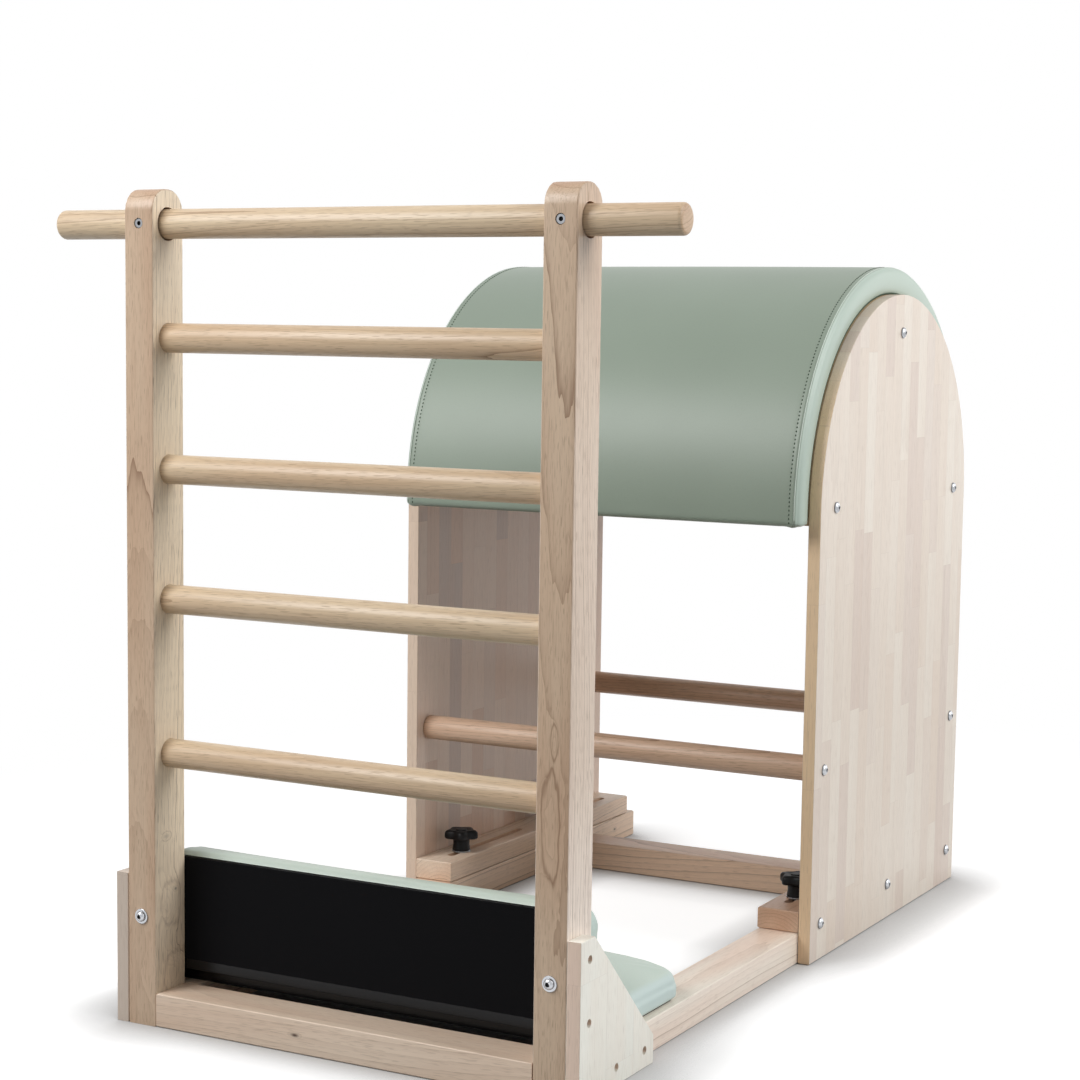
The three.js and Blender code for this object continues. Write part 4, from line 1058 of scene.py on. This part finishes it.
def pad_rings(plan, height, board, skirt, roll, crown, swell):
    """Rings of a pad on a board, from the middle of its underside round its edge to the middle of its top.

    Each ring is the plan at an inset, and a height. Past the rolled edge the rings shrink to the middle.
    """
    draw = 1.5 * MM

    def shrunk(ring, share):
        return ring * (1 - share) + ring.mean(0) * share

    under = plan(4.3 * MM, 0)
    rings = [(shrunk(under, share), board) for share in (1, 0.5, 0)]
    rings += [(under, skirt), (plan(3 * MM, 0), skirt - 1 * MM), (plan(2.4 * MM, 0), skirt)]
    for share in (0.1, 0.25, 0.4, 0.55, 0.7, 0.85, 1):
        inset = draw * (1 - math.sin(math.pi * (0.25 + share * 0.4))) - swell
        rings.append((plan(inset, draw * share), skirt + (height - roll - skirt) * share))
    for turn in np.radians([12, 24, 36, 48, 60, 72, 82]):
        ring = plan(inset + roll * (1 - math.cos(turn)), draw)
        rings.append((ring, height - roll + roll * math.sin(turn)))
    rim = plan(inset + roll, draw)
    for share in (0, 0.06, 0.13, 0.21, 0.3, 0.4, 0.5, 0.6, 0.7, 0.8, 0.89, 0.96, 1):
        rings.append((shrunk(rim, share), height + crown * math.sin(math.pi / 2 * share) ** 0.8))
    return rings


def pad(name, part, finish, order, corners, swollen, sizes):
    """A padded board: its rings become a closed grid, which cloth then swells between its rolled edges.

    The order gives the axes of the pad's width, its length and its rise from the board. The skirt hangs
    round the board, but at the edge nearest the sill it ends on the board. What it swells by is left out of
    its height.
    """
    low, high = (corner[list(order)] for corner in ends(part + "_pad"))
    board_low, board_high = (corner[list(order)] for corner in ends(part + "_board"))
    half = (high[0] - low[0]) / 2
    base = board_low[2]
    board = board_high[2] - base + SEAT
    height = high[2] - base - swollen

    def plan(inset, draw):
        return outline(half, low[1], high[1], *corners, inset, draw)

    rings = pad_rings(plan, height, board, *sizes)
    flat = np.concatenate([np.column_stack([ring, np.full(len(ring), rise)]) for ring, rise in rings])
    rise = flat[:, 2].copy()
    ends_there = (flat[:, 1] < low[1] + 7 * MM) & (rise < board)
    rise[ends_there] = board + (rise[ends_there] > 1.5 * MM) * 0.2 * MM
    points = np.stack([flat[:, 0], flat[:, 1], rise + base], axis=-1)[:, list(order)]
    faces = ring_faces(len(rings), len(rings[0][0]))
    made = piece(name, points, faces, finish, "base", (part + "_pad",), 60)
    inflate(made, vectors(made.data)[:, order[2]] - base < height * 0.55, 3 * MM)
    subdivided(made)


def dust_cover():
    """Black cloth stapled over the back of the kick board, short of its lower edge.

    Small ripples, the product of two sines, fade away from its two hems.
    """
    low, high = ends("kick_board")
    inner = ends("post_right")[0][0] - 0.5 * MM
    hem = 14 * MM
    x = np.linspace(-inner, inner, 240)
    z = np.concatenate([np.linspace(0, 12, 9), np.linspace(14, 100, 24)]) * MM
    top = high[2] - 1.5 * MM
    z = np.concatenate([low[2] + hem + z, [top - 12 * MM], (top - z[:8])[::-1]])
    z = np.unique(z[z < top + 1e-9])
    points, faces = block_skin(x, np.array([0, 1.0]), z)
    px, depth, pz = points.T
    edge = np.minimum(pz - z[0], z[-1] - pz)
    ripple = np.sin(px * 240 + 3 * np.sin(px * 31)) * np.sin(px * 57 + 1) * np.exp(-edge / (7 * MM))
    rise = (0.5 + 0.35 * ripple + 0.3 * bump_over(edge, 3 * MM)) * MM
    points[:, 1] = low[1] - 0.05 * MM - depth * rise
    points[:, 2] += ripple * 0.3 * MM * (edge < 1e-6)
    piece("kick_dust_cover", points, faces, black_cloth, "base")


def pads():
    """The step's pad lies on its board, and the kick pad stands on the back of an upright board.

    A pad's corners are the radius of the low ones and the two radii of the high ones, and its sizes are its
    skirt, the roll of its edge, the crown of its top and the swell of its sides.
    """
    corners = (10 * MM, (165 * MM, 65 * MM))
    sizes = (3.4 * MM, 14 * MM, 4 * MM, 1.5 * MM)
    pad("step_cushion", "platform", pale_sage, (0, 1, 2), corners, 5 * MM, sizes)
    corners = (5 * MM, (30 * MM, 30 * MM))
    sizes = (2 * MM, 8 * MM, 2 * MM, 3 * MM)
    pad("kick_cushion", "kick", shaded_kick_sage, (0, 2, 1), corners, 2 * MM, sizes)
    finished("platform_board", black_gloss)
    finished("kick_board", black_gloss)
    dust_cover()


# Floor, backdrop and light

FLOOR_BOUNCE = 0.27
FLOOR_SEEN = 2.2
FLOOR_REACH = 30.0
AMBIENT = 0.22


def seen_directly(nodes):
    """1 for the rays that show a surface to the camera, a mirror or glass, and 0 for those that light it."""
    rays = nodes.node("LightPath").socket.node.outputs
    total = Wire(nodes, rays["Is Camera Ray"])
    for kind in ("Is Glossy Ray", "Is Transmission Ray"):
        total = total.maths("MAXIMUM", total, Wire(nodes, rays[kind]))
    return total


def white_floor():
    """A white floor that keeps the shadow at the machine's foot and is plain white further away.

    The rays of the camera see it brighter than the light that it throws back onto the machine.
    """
    floor = Finish("white_floor")
    x, y, _ = floor.parts(floor.place)
    fade = ((x * 0.95) ** 2 + (y * 0.75) ** 2) ** 0.5
    dull = floor.node("BsdfDiffuse", {}, {"Color": (FLOOR_BOUNCE, FLOOR_BOUNCE, FLOOR_BOUNCE, 1)})
    bright = floor.node("BsdfDiffuse", {}, {"Color": (FLOOR_SEEN, FLOOR_SEEN, FLOOR_SEEN, 1)})
    open_above = floor.node("AmbientOcclusion", {"samples": 8}, {"Distance": 0.13}, output="AO")
    near = floor.node("Emission", {}, {"Strength": open_above**4})
    white = floor.node("Emission", {}, {"Strength": 1.0})
    lit = floor.node("MixShader", {}, {0: 0.75, 1: bright, 2: near})
    shown = floor.node("MixShader", {}, {0: fade.smooth(0.95, 1.6), 1: lit, 2: white})
    both = floor.node("MixShader", {}, {0: seen_directly(floor), 1: dull, 2: shown})
    floor.show(both, "Material Output")
    mesh = bpy.data.meshes.new("floor")
    corners = [(x * FLOOR_REACH, y * FLOOR_REACH, -SEAT) for x, y in ((-1, -1), (1, -1), (1, 1), (-1, 1))]
    mesh.from_pydata(corners, [], [(0, 1, 2, 3)])
    mesh.materials.append(floor.material)
    linked("floor", mesh)


def backdrop():
    """A white backdrop for the rays of the camera, and a dim, slightly blue one for those that light."""
    world = bpy.data.worlds.new("studio")
    scene.world = world
    world.use_nodes = True
    nodes = Nodes(world.node_tree)
    nodes.tree.nodes.remove(nodes.tree.nodes["Background"])
    dim = nodes.node("Background", {}, {"Color": (0.96, 0.98, 1.0, 1), "Strength": AMBIENT})
    white = nodes.node("Background", {}, {"Color": (1, 1, 1, 1)})
    both = nodes.node("MixShader", {}, {0: seen_directly(nodes), 1: dim, 2: white})
    nodes.show(both, "World Output")


def softbox(name, place, aim, size, power):
    """A square area lamp that looks from its place at its aim."""
    data = bpy.data.lights.new(name, "AREA")
    data.size = size
    data.energy = power
    z = np.subtract(place, aim).astype(float)
    z /= np.linalg.norm(z)
    x = np.cross((0, 0, 1.0), z)
    x /= np.linalg.norm(x)
    linked(name, data).matrix_world = standing(place, x, np.cross(z, x), z)


photo_camera()
ladder()
base_frame()
barrel_frame()
fasteners()
for end_name in ("front", "rear"):
    for hand_name in SIDES:
        clamp_knob(end_name, hand_name)
barrel_cushion()
pads()
white_floor()
backdrop()
softbox("key_light", (5.1, 0.8, 3.7), aim=(0, 0, 0.5), size=3.6, power=242)
softbox("back_light", (2.4, 3.7, 1.3), aim=(0, 0, 0.5), size=2.4, power=20)
softbox("front_light", (-1.6, -2.7, 2.7), aim=(0, -0.1, 0.6), size=1.8, power=92)
scene.view_settings.view_transform = "Standard"
